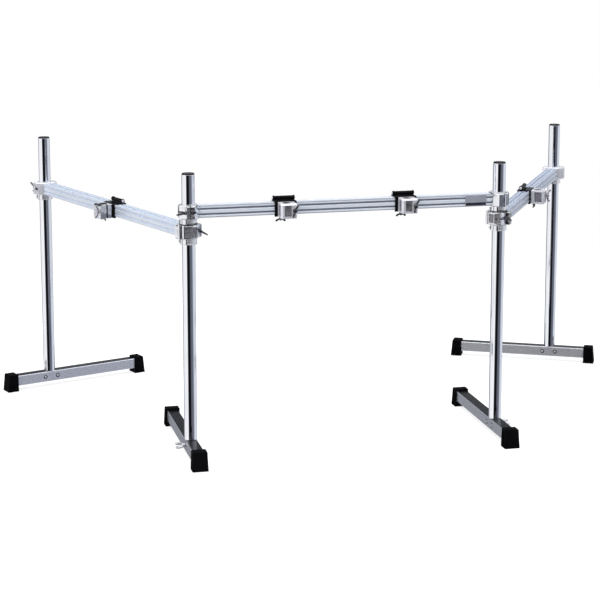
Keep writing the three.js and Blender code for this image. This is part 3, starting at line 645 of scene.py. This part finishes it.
def bootSurface(look):
    # Level rings from the floor up: a rounded rectangle whose long sides carry a triangle wave that
    # fades with height, whose outer end leans in, and which draws in by a quarter round at the top.
    count = 97
    heights = np.concatenate([[0, 0.4 * mm], np.linspace(1.2 * mm, look["height"] - look["round"], 12),
                              look["height"] - look["round"] * (1 - np.sin(np.linspace(0.2, 1, 6) * math.pi / 2))])
    rings = []
    for z in heights:
        share = z / look["height"]
        over = max(0.0, z - (look["height"] - look["round"])) / look["round"]
        draw = look["round"] * (1 - math.sqrt(max(0.0, 1 - over ** 2)))
        foot = 0.5 * mm if z == 0 else 0
        half = (look["bottomWidth"] * (1 - share) + look["topWidth"] * share) / 2 - draw * 0.8 - foot
        start = look["taper"] * share + draw + foot
        end = look["length"] - draw * 0.25 - foot
        t = np.linspace(0, 1, count)
        wave = 1 - np.abs(((t * look["teeth"]) % 1) * 2 - 1)
        depth = look["tooth"] * (1 - share) ** 0.8 * wave
        corner = look["corner"]
        x = start + (end - start) * t
        endCut = np.clip(1 - (x - start) / corner, 0, 1) ** 2 + np.clip(1 - (end - x) / corner, 0, 1) ** 2
        y = half - depth - corner * endCut * 0.6
        lower = np.column_stack([x, -y, np.full_like(x, z)])
        upper = np.column_stack([x[::-1], y[::-1], np.full_like(x, z)])
        rings.append(np.concatenate([lower, upper]))
    return gridPatch(np.stack(rings))


def sinkShadowRing(inner, outer):
    # The dark edge of a countersink as painted shadow: a flat black ring with a square section, just proud of the face.
    return turned([(inner, -0.2 * mm), (outer, -0.2 * mm), (outer, 0.3 * mm), (inner, 0.1 * mm)], 32)


def screwHead(radius, dome):
    # A raised countersunk head: a shallow dome with a sunk round recess in the middle.
    r = np.linspace(1, 0.42, 8)
    profile = [(radius, 0)] + [(radius * s, dome * math.sqrt(max(0.0, 1 - s ** 2)) + 0.25 * mm) for s in r]
    return turned(profile + [(radius * 0.36, dome * 0.3), (0, dome * 0.25)], 32)


wingSizes = {
    "clamp": lengths(hub=5.8, hubTop=9, neck=4.6, shaft=3.5, shaftLength=25, root=1.5, low=5.5, bendOut=9, bendUp=9,
                     span=31, rise=27.0, width=3.4, thick=2.6),
    "foot": lengths(hub=6.8, hubTop=10, neck=5.6, shaft=4.0, shaftLength=12, root=1.5, low=5, bendOut=10, bendUp=9,
                    span=15, rise=29.5, width=4.2, thick=3.3),
    "nut": lengths(hub=6.8, hubTop=8.0, neck=5.2, shaft=3.5, shaftLength=30, root=2.0, low=4.5, bendOut=13,
                   bendUp=3.0, span=40, rise=12.5, width=3.5, thick=2.7),
    "small": lengths(hub=4.8, hubTop=8.0, neck=3.6, shaft=2.6, shaftLength=5, root=1.5, low=5.0, bendOut=9,
                     bendUp=5.0, span=29, rise=11, width=2.7, thick=2.1),
}


threadLook = lengths(pitch=1.25, depth=0.28, step=0.16, runIn=1.2)


def threadedShaft(radius, low, high):
    # A rod whose radius ripples with height: radius - ripple |sin| along it, rounded at its end.
    z = np.arange(low + threadLook["runIn"], high, threadLook["step"])
    ripple = threadLook["depth"] * np.abs(np.sin(z / threadLook["pitch"] * math.pi))
    body = [(radius - depth, level) for level, depth in zip(z, ripple)]
    return turned([(0, low), (radius * 0.7, low), (radius * 0.92, low + 0.7 * mm), *body, (0, high)], 24)


def wingParts(size):
    # Screw along Z with its seat at z = 0: threaded shaft below, waisted hub and two lobes above.
    q = np.linspace(0, math.pi / 2, 6)
    neck, hub, top = size["neck"], size["hub"], size["hubTop"]
    waist = [(hub - (hub - neck) * math.sin(a), top * 0.25 + top * 0.55 * (1 - math.cos(a))) for a in q]
    dome = [(neck * math.cos(a), top * 0.8 + top * 0.2 * math.sin(a) + 1.2 * mm) for a in q]
    body = turned([(0, 0), (hub - 0.5 * mm, 0), (hub, 0.5 * mm), *waist, *dome], 36)
    return [body, lobe(size, 1), lobe(size, -1), threadedShaft(size["shaft"], -size["shaftLength"], top * 0.6)]


def makeWing(name, body, node, size, origin, heading, lobeAxis, material):
    z = np.asarray(heading, float)
    x = np.asarray(lobeAxis, float)
    y = np.cross(z, x)
    parts = [(placed(patch, origin, x, y, z), material) for patch in wingParts(wingSizes[size])]
    makePiece(name, body, parts, [node], sharp=60)


def paintTopReflection(mesh, material):
    # Faces that look straight up take the darker top material, a painted reflection
    mesh.materials.append(material)
    normals = np.empty(len(mesh.polygons) * 3)
    slots = np.empty(len(mesh.polygons), int)
    mesh.polygons.foreach_get("normal", normals)
    mesh.polygons.foreach_get("material_index", slots)
    level = normals.reshape(-1, 3)[:, 2] > 0.93
    mesh.polygons.foreach_set("material_index", np.where(level, len(mesh.materials) - 1, slots))


def makeFoot(name):
    side = 1 if name.endswith("left") else -1
    axis = postAxis[name]
    outer, inner = middleOf(name + "_outer_boot"), middleOf(name + "_inner_boot")
    along = levelUnit(inner - outer)
    low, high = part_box(name + "_foot")
    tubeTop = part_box(name + "_post")[0][2] - clearance
    tubeLow = low[2]
    size = tubeTop - tubeLow
    middle = (tubeTop + tubeLow) / 2 * up
    bootOut = np.dot(outer - axis, along) - bootLook["length"] / 2
    bootIn = np.dot(inner - axis, along) + bootLook["length"] / 2
    brushing = {"turn": -turnOf(along), "brush": (0.04, 1, 1)}
    shade = footPaintedLight[name]
    sideColours = {"colour": shaded(footLook["colour"], shade), "wornAndGlint": shaded(footLook["wornAndGlint"], shade)}
    satin = metal(name + " foot satin", {**footLook, **sideColours, **brushing})
    darkTopReflection = metal(name + " foot top painted reflection", {**footTopReflectionLook, **brushing})
    sunk = footShape["inset"]
    tube = carried(roundedRectangle(size, size, footShape["corner"]), bootOut + sunk, bootIn - sunk)
    parts = [(placed(tube, axis + middle, across(along), up, along), satin)]
    out = -side * across(along)
    for place in (-footShape["screwPlace"], footShape["screwPlace"]):
        head = screwHead(footShape["screwRadius"], footShape["screwDome"])
        ring = sinkShadowRing(footShape["screwRadius"] - 0.2 * mm, footShape["sinkRadius"])
        seat = axis + middle + along * place + out * (size / 2 - 0.15 * mm)
        for patch, material in ((head, chrome), (ring, paintedShadeBlack)):
            parts.append((placed(patch, seat, along, np.cross(out, along), out), material))
    piece = makePiece(name + "_foot_tube", name + "_foot", parts, [name + "_foot"])
    paintTopReflection(piece.data, darkTopReflection)
    for label, direction, reach in (("outer", along, bootOut), ("inner", -along, bootIn)):
        patch = placed(bootSurface(bootLook), axis + along * reach, direction, across(direction), up)
        makePiece(f"{name}_{label}_boot_rubber", name + "_foot", [(patch, rubber)],
                  [f"{name}_{label}_boot"], sharp=45)
    heading = side * across(along)
    seat = axis + middle + heading * (size / 2 + clearance)
    roll = math.radians(footShape["wingRoll"])
    makeWing(name + "_foot_wing_screw", name + "_foot_wing_bolt", name + "_foot_wing_bolt", "foot", seat, heading,
             along * math.cos(roll) + up * math.sin(roll), brightReflectionWing)


for name in postNames:
    makeFoot(name)
print("feet made")


# Post clamps

clampLook = {**lengths(rim=0.8, jawFace=-29, ridge=8, pocketFloor=-34.5, pinX=-5, pinY=31, pinHead=3.1, boltY=-29.5,
                       boltSeat=-11.3, pinDome=0.9, halfHeight=19.85), "slantTurn": 27.76}
wingRoll = {"front_left_upper": 118, "front_right_upper": 20, "outer_left": 165, "front_left_lower": 52,
            "front_right_lower": 85, "outer_right": 30}


def clampPaint(origin, inward):
    # Floors of the sunk panels and pockets take the panel texture, the faces inside the split and the bore are painted
    # black as painted shade
    side = across(inward)
    turn = math.radians(clampLook["slantTurn"])
    slant = side * math.sin(turn) - inward * math.cos(turn)
    ridge = origin + inward * clampLook["jawFace"] + side * clampLook["ridge"]

    def paint(middles, normals):
        x, y = (middles - origin) @ inward, (middles - origin) @ side
        facing, faceSide = normals @ inward, normals @ side
        flat = (facing < -0.98) & (x > clampLook["jawFace"] + 0.5 * mm) & (x < -20 * mm)
        sloped = (normals @ slant > 0.98) & ((middles - ridge) @ slant < -0.5 * mm)
        pocket = (faceSide < -0.98) & (np.abs(y - clampLook["pocketFloor"]) < 0.4 * mm)
        inside = (np.abs(facing) > 0.98) & (np.abs(x + 2.5 * mm) < 5.5 * mm)
        radius = np.hypot(x, y)
        bore = (radius < 19.4 * mm) & (np.abs(normals[:, 2]) < 0.1)
        return np.where(inside | bore, 2, np.where(flat | sloped | pocket, 1, 0))
    return paint


def makeClamp(name):
    origin, inward, carrier, post = clampFrame[name]
    side = across(inward)
    paint = clampPaint(origin, inward)
    # Painted reflection: the outer clamps' panels are painted pale, the front clamps' dark
    metals = [satinCasting, paleReflectionPanel] if name.startswith("outer") else [casting, panelDark]
    for label, body in (("body", carrier), ("jaw", name + "_jaw")):
        castingFrom(f"{name}_clamp_{label}", f"{name}_clamp_{label}_casting", body, [*metals, paintedShadeBlack],
                    clampLook["rim"], paint)
    pinMiddle = origin + inward * clampLook["pinX"] + side * clampLook["pinY"]
    q = np.linspace(0, math.pi / 2, 5)
    dome = [(clampLook["pinHead"] * math.cos(a), clampLook["pinDome"] * math.sin(a) + 0.1 * mm) for a in q]
    pinHead = turned([(clampLook["pinHead"], -0.4 * mm), *dome], 28)
    halfHeight = clampLook["halfHeight"]
    parts = [(placed(pinHead, pinMiddle + up * halfHeight), chrome),
             (placed(pinHead, pinMiddle - up * halfHeight, (1, 0, 0), (0, -1, 0)), chrome)]
    makePiece(name + "_hinge_pin_heads", carrier, parts)
    roll = math.radians(wingRoll[name])
    seat = origin + inward * clampLook["boltSeat"] + side * clampLook["boltY"]
    makeWing(name + "_clamp_wing_screw", name + "_wing_bolt", name + "_clamp_wing_bolt", "clamp", seat, -inward,
             up * math.cos(roll) + side * math.sin(roll), darkReflectionWing)


for name in clampFrame:
    makeClamp(name)
print("clamps made")


# Collars

collarLook = {**lengths(radius=24.6, bore=19.4, rim=1.3, ribDepth=1.1, padReach=25.9, washer=2.4, washerRadius=26.6,
                        slit=2.2, key=5.4, keyLength=4.2, keyAlong=21.2, keySide=14.6),
              "ribs": 3, "padHalf": 34, "turn": 215}


def collarSurface(look, height):
    # Rings round Z: outside, the radius dips by |sin| ribs except over the pad, where it swells to the pad's
    # reach; a narrow notch at the pad's middle is the slit. Inside it is a plain bore.
    angle = np.linspace(-math.pi, math.pi, 240, endpoint=False)
    degrees = np.degrees(angle)
    pad = 1 / (1 + np.exp((np.abs(degrees) - look["padHalf"]) / 1.2))
    slit = np.exp(-(degrees / 1.6) ** 2)
    s = np.linspace(0, 1, 41)
    z = (s - 0.5) * height
    fromEnd = np.minimum(s, 1 - s) * height
    draw = look["rim"] - np.sqrt(np.clip(look["rim"] ** 2 - np.clip(look["rim"] - fromEnd, 0, None) ** 2, 0, None))
    inner = np.clip((fromEnd - look["rim"]) / (1.2 * mm), 0, 1)
    rib = look["ribDepth"] * np.abs(np.sin(s * math.pi * look["ribs"])) ** 0.7 * inner
    radius = (look["radius"] + pad * (look["padReach"] - look["radius"]) - draw[:, None]
              - rib[:, None] * (1 - pad) - slit * look["slit"])
    outside = np.stack([radius * np.cos(angle), radius * np.sin(angle), z[:, None] + 0 * angle], axis=-1)
    bore = np.stack([look["bore"] * np.cos(angle), look["bore"] * np.sin(angle), 0 * angle], axis=-1)
    rows = [bore + np.array([0, 0, -height / 2]), *outside, bore + np.array([0, 0, height / 2]),
            bore + np.array([0, 0, -height / 2])]
    return gridPatch(np.stack(rows), capped=False)


def makeCollar(name, body):
    low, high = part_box(name + "_collar")
    post = clampFrame[name][3]
    turn = math.radians(collarLook["turn"])
    x = np.array([math.cos(turn), math.sin(turn), 0])
    origin = postAxis[post] + (low[2] + high[2]) / 2 * up
    ring = collarSurface(collarLook, high[2] - low[2])
    key = roundedRectangle(collarLook["key"], collarLook["key"], 0.6 * mm, 3)
    square = carried(key, 0, collarLook["keyLength"], 0.5 * mm, 2)
    seat = origin + x * collarLook["keyAlong"] - across(x) * collarLook["keySide"]
    flange = turned([(4.4 * mm, -1.5 * mm), (4.4 * mm, 0.5 * mm), (4.0 * mm, 0.9 * mm), (0, 0.9 * mm)], 28)
    heading = -across(x)
    parts = [(placed(ring, origin, x, across(x)), casting),
             (placed(square, seat, x, np.cross(heading, x), heading), chrome),
             (placed(flange, seat, x, np.cross(heading, x), heading), chrome)]
    if name.endswith("_upper"):
        bottom = (low[2] - origin[2]) * up
        r, t = collarLook["washerRadius"], collarLook["washer"]
        washer = turned([(r - 6 * mm, 0.05 * mm), (r - 0.2 * mm, 0.05 * mm), (r, 0.3 * mm), (r, t - 0.3 * mm),
                         (r - 0.2 * mm, t), (r - 6 * mm, t)], 72)
        parts.append((placed(washer, origin + bottom), nylon))
    makePiece(name + "_collar_ring", body, parts, [name + "_collar"], sharp=50)


for name, (origin, inward, carrier, post) in clampFrame.items():
    makeCollar(name, post + "_collars" if post.startswith("front") else post + "_collar")
print("collars made")


# Holders on the bars

holderLook = lengths(length=65, plate=3, drop=5, lip=4, rearDrop=12, rollRadius=6.7, rollRise=9.5, rollBack=10,
                     pinRadius=4.2, pinProud=1.5, boltX=17.5, reach=46, smallX=-18, smallOut=31, boreX=-3, boreOut=40,
                     boreRadius=12.5, sideFloor=-22.5, rollEdge=0.8, rollBand=4, rollStep=0.6, rollDip=1.1,
                     pinEdge=0.6)
holderNames = {"front_bar_left": "front", "front_bar_right": "front", "left_bar": "left", "right_bar": "right"}
# Painted reflection: the left bar's holder has its panel painted pale, the others dark
holderMetals = {"front": [satinCasting, panelDark], "left": [casting, paleReflectionPanel],
                "right": [satinCasting, panelDark]}
# Painted reflection: dark wing nuts on the front bar's holders, bright ones on the side bars
nutMetals = {"front": darkReflectionWing, "left": brightReflectionWing, "right": brightReflectionWing}
nutRoll = {"front_bar_left": 24, "front_bar_right": 20, "left_bar": 10, "right_bar": 24}


def makeHolder(name, barName):
    look = holderLook
    start, along, length = barFrame[barName]
    inward = across(along)
    saddleMiddle = middleOf(name + "_holder_saddle")
    origin = start + along * np.dot(saddleMiddle - start, along)
    body = name + "_holder"
    half = 18 * mm
    near = half + clearance
    far = near + look["plate"]
    low = -half - look["drop"]
    section = [(-far, low), (look["lip"] - near, low), (look["lip"] - near, -near), (-near, -near), (-near, near),
               (near, near), (near, half - look["rearDrop"]), (far, half - look["rearDrop"]), (far, far),
               (-far, far)]
    channel = carried(rounded(section, 1.1 * mm, 4), -look["length"] / 2, look["length"] / 2, 0.6 * mm, 3)
    rollPlace = inward * look["rollBack"] + up * (half + look["rollRise"])
    end = look["length"] / 2
    r = look["rollRadius"]
    e, b, dip = look["rollEdge"], look["rollBand"], look["rollDip"]
    inside = end - b - look["rollStep"]
    roll = turned([(0, -end), (r - e, -end), (r, e - end), (r, b - end), (r - dip, -inside), (r - dip, inside),
                   (r, end - b), (r, end - e), (r - e, end), (0, end)], 40)
    pinEnd = end + look["pinProud"]
    p = look["pinRadius"]
    e = look["pinEdge"]
    pin = turned([(0, -pinEnd), (p - e, -pinEnd), (p, e - pinEnd), (p, pinEnd - e), (p - e, pinEnd), (0, pinEnd)], 28)
    web = carried(rounded([(look["rollBack"] - 5 * mm, far - 0.5 * mm), (look["rollBack"] + 5 * mm, far - 0.5 * mm),
                           (look["rollBack"] + 3 * mm, half + look["rollRise"]),
                           (look["rollBack"] - 3 * mm, half + look["rollRise"])], 0.6 * mm, 2),
                  -end + 6 * mm, end - 6 * mm)
    axes = (inward, up, along)
    parts = [(placed(channel, origin, *axes), nylon), (placed(roll, origin + rollPlace, *axes), nylon),
             (placed(web, origin, *axes), nylon), (placed(pin, origin + rollPlace, *axes), satinCasting)]
    makePiece(name + "_saddle_nylon", body, parts, [name + "_holder_saddle"], sharp=45)
    front = half + look["reach"]

    # The bore and the slit are painted black as painted shade
    def paint(middles, normals):
        out, right = (origin - middles) @ inward, (middles - origin) @ along
        panel = (normals @ -inward > 0.98) & (out < front - 0.5 * mm) & (out > front - 4 * mm)
        sidePanel = (normals @ -along > 0.98) & (np.abs(right - look["sideFloor"]) < 0.4 * mm)
        radius = np.hypot(right - look["boreX"], out - look["boreOut"])
        bore = (radius < look["boreRadius"] + 0.3 * mm) & (np.abs(normals[:, 2]) < 0.1)
        slit = (np.abs(normals @ inward) > 0.98) & (right > 0) & (np.abs(out - look["boreOut"]) < 4 * mm)
        return np.where(bore | slit, 3, np.where(sidePanel, 2, np.where(panel, 1, 0)))

    castingFrom(name + "_holder_body", name + "_holder_casting", body,
                [*holderMetals[barName], sidePanelMetal, paintedShadeBlack], 0.9 * mm, paint)
    seat = origin + along * look["boltX"] - inward * (front + clearance)
    roll = math.radians(nutRoll[name])
    makeWing(name + "_wing_nut", name + "_holder_wing_nut", name + "_holder_wing_nut", "nut", seat, -inward,
             up * math.cos(roll) + along * math.sin(roll), nutMetals[barName])
    smallSeat = origin + along * look["smallX"] - inward * look["smallOut"] + up * (low - clearance)
    parts = [(placed(patch, smallSeat, along, -inward, -up), darkReflectionWing) for patch in wingParts(wingSizes["small"])]
    makePiece(name + "_lower_wing_screw", body, parts, sharp=60)


for name, barName in holderNames.items():
    makeHolder(name, barName)
print("holders made")


# Bare plate on the front bar

plateShape = lengths(corner=1.6, edge=0.3, margin=4, bandHeight=8.5, bandRise=6.2, bandCorner=1)


def makePlate():
    low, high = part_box("badge_plate")
    size = np.array(high) - np.array(low)
    middle = middleOf("badge_plate")
    plate = carried(roundedRectangle(size[0], size[2], plateShape["corner"]), 0, size[1], plateShape["edge"], 2)
    start, along, length = barFrame["front"]
    out = -across(along)
    back = middle - out * size[1] / 2
    strip = roundedRectangle(size[0] - plateShape["margin"], plateShape["bandHeight"], plateShape["bandCorner"])
    band = carried(strip, 0, 0.3 * mm, 0.1 * mm, 2)
    bandPlace = back + out * (size[1] - 0.12 * mm) - up * (size[2] / 2 - plateShape["bandRise"])
    makePiece("bare_plate", "front_bar", [(placed(plate, back, along, up, out), plateSatin),
                                          (placed(band, bandPlace, along, up, out), plateBand)],
              ["badge_plate"])


makePlate()


# Floor and light

def makeFloor():
    mesh = bpy.data.meshes.new("floor")
    reach = 14.0
    mesh.from_pydata([(-reach, -reach, 0), (reach, -reach, 0), (reach, reach, 0), (-reach, reach, 0)], [],
                     [(0, 1, 2, 3)])
    floor = bpy.data.objects.new("floor", mesh)
    bpy.context.scene.collection.objects.link(floor)
    floor.location.z = -0.0002
    material, tree, surface = newMaterial("pale floor")
    surface.inputs["Base Color"].default_value = (0.3, 0.3, 0.3, 1)
    surface.inputs["Emission Color"].default_value = (1, 1, 1, 1)
    surface.inputs["Emission Strength"].default_value = 0.74
    surface.inputs["Roughness"].default_value = 0.9
    surface.inputs["Specular IOR Level"].default_value = 0.1
    place = node(tree, "ShaderNodeTexCoord")
    away = node(tree, "ShaderNodeVectorMath", operation="LENGTH")
    fade = node(tree, "ShaderNodeMapRange", interpolation_type="SMOOTHSTEP")
    fade.inputs["From Min"].default_value = 1.3
    fade.inputs["From Max"].default_value = 3.0
    clear = node(tree, "ShaderNodeBsdfTransparent")
    mix = node(tree, "ShaderNodeMixShader")
    link = tree.links.new
    link(place.outputs["Object"], away.inputs[0])
    link(away.outputs["Value"], fade.inputs["Value"])
    link(fade.outputs["Result"], mix.inputs[0])
    link(surface.outputs[0], mix.inputs[1])
    link(clear.outputs[0], mix.inputs[2])
    link(mix.outputs[0], tree.nodes["Material Output"].inputs["Surface"])
    mesh.materials.append(material)
    floor.visible_glossy = False


def makeWorld():
    # What the metal mirrors: bright and dark screens round the rack, by bearing from the viewpoint
    world = bpy.data.worlds.new("studio")
    bpy.context.scene.world = world
    world.use_nodes = True
    tree = world.node_tree
    tree.nodes.clear()
    link = tree.links.new
    yaw = math.radians(viewpoint["yaw"])
    place = node(tree, "ShaderNodeTexCoord")
    right = node(tree, "ShaderNodeVectorMath", operation="DOT_PRODUCT")
    right.inputs[1].default_value = (math.cos(yaw), -math.sin(yaw), 0)
    toward = node(tree, "ShaderNodeVectorMath", operation="DOT_PRODUCT")
    toward.inputs[1].default_value = (-math.sin(yaw), -math.cos(yaw), 0)
    link(place.outputs["Generated"], right.inputs[0])
    link(place.outputs["Generated"], toward.inputs[0])
    bearing = node(tree, "ShaderNodeMath", operation="ARCTAN2")
    link(right.outputs["Value"], bearing.inputs[0])
    link(toward.outputs["Value"], bearing.inputs[1])
    turn = node(tree, "ShaderNodeMapRange")
    turn.inputs["From Min"].default_value = -math.pi
    turn.inputs["From Max"].default_value = math.pi
    link(bearing.outputs[0], turn.inputs["Value"])

    def stops(table):
        return [((degrees + 180) / 360, colour) for degrees, colour in table]

    lower = rampNode(tree, stops([
        (-180, (0.30, 0.31, 0.34)), (-128, (0.30, 0.31, 0.34)), (-118, (0.95, 0.96, 1.0)),
        (-36, (1.05, 1.05, 1.08)), (-27, (0.012, 0.012, 0.016)), (13, (0.002, 0.002, 0.004)),
        (20, (0.105, 0.115, 0.145)), (66, (0.19, 0.205, 0.25)), (76, (0.66, 0.70, 0.80)),
        (136, (0.80, 0.84, 0.92)), (150, (0.32, 0.33, 0.37)), (180, (0.30, 0.31, 0.34))]))
    upper = rampNode(tree, stops([
        (-180, (0.05, 0.055, 0.06)), (-130, (0.08, 0.085, 0.10)), (-112, (0.95, 0.95, 0.98)),
        (-40, (1.0, 1.0, 1.0)), (-20, (0.05, 0.05, 0.06)), (20, (0.08, 0.08, 0.10)),
        (60, (0.6, 0.62, 0.66)), (120, (0.85, 0.87, 0.92)), (145, (0.09, 0.095, 0.11)),
        (180, (0.05, 0.055, 0.06))]))
    link(turn.outputs["Result"], lower.inputs["Fac"])
    link(turn.outputs["Result"], upper.inputs["Fac"])
    split = node(tree, "ShaderNodeSeparateXYZ")
    link(place.outputs["Generated"], split.inputs[0])

    def step(low, high):
        made = node(tree, "ShaderNodeMapRange", interpolation_type="SMOOTHSTEP")
        made.inputs["From Min"].default_value = low
        made.inputs["From Max"].default_value = high
        link(split.outputs["Z"], made.inputs["Value"])
        return made.outputs["Result"]

    def mixed(factor, first, second):
        made = node(tree, "ShaderNodeMix", data_type="RGBA")
        link(factor, made.inputs["Factor"])
        for value, socket in ((first, made.inputs[6]), (second, made.inputs[7])):
            if isinstance(value, tuple):
                socket.default_value = (*value, 1)
            else:
                link(value, socket)
        return made.outputs[2]

    level = mixed(step(0.02, 0.10), lower.outputs["Color"], (0.86, 0.88, 0.94))
    sides = mixed(step(0.19, 0.23), level, upper.outputs["Color"])
    whole = mixed(step(0.55, 0.8), sides, (1.2, 1.2, 1.22))
    deep = mixed(step(-0.75, -0.5), (0.55, 0.56, 0.58), whole)
    mirrored = node(tree, "ShaderNodeBackground", _Strength=1.0)
    link(deep, mirrored.inputs["Color"])
    seen = node(tree, "ShaderNodeBackground", _Strength=1.0, _Color=(1, 1, 1, 1))
    path = node(tree, "ShaderNodeLightPath")
    choose = node(tree, "ShaderNodeMixShader")
    out = node(tree, "ShaderNodeOutputWorld")
    link(path.outputs["Is Camera Ray"], choose.inputs[0])
    link(mirrored.outputs[0], choose.inputs[1])
    link(seen.outputs[0], choose.inputs[2])
    link(choose.outputs[0], out.inputs["Surface"])


def makeLight(name, place, aim, size, power):
    data = bpy.data.lights.new(name, "AREA")
    data.shape = "RECTANGLE"
    data.size, data.size_y = size
    data.energy = power
    light = bpy.data.objects.new(name, data)
    bpy.context.scene.collection.objects.link(light)
    light.location = place
    direction = np.array(aim) - np.array(place)
    light.rotation_euler = (math.atan2(math.hypot(direction[0], direction[1]), -direction[2]), 0,
                            math.atan2(direction[0], -direction[1]) + math.pi)
    light.visible_glossy = False


makeFloor()
makeWorld()
makeLight("overhead", (0.0, -0.2, 4.2), (0, 0, 0), (5.0, 4.0), 260)
makeLight("left front", (-3.2, -3.4, 2.6), (0, 0, 0.4), (2.4, 2.4), 70)
print("stage made")
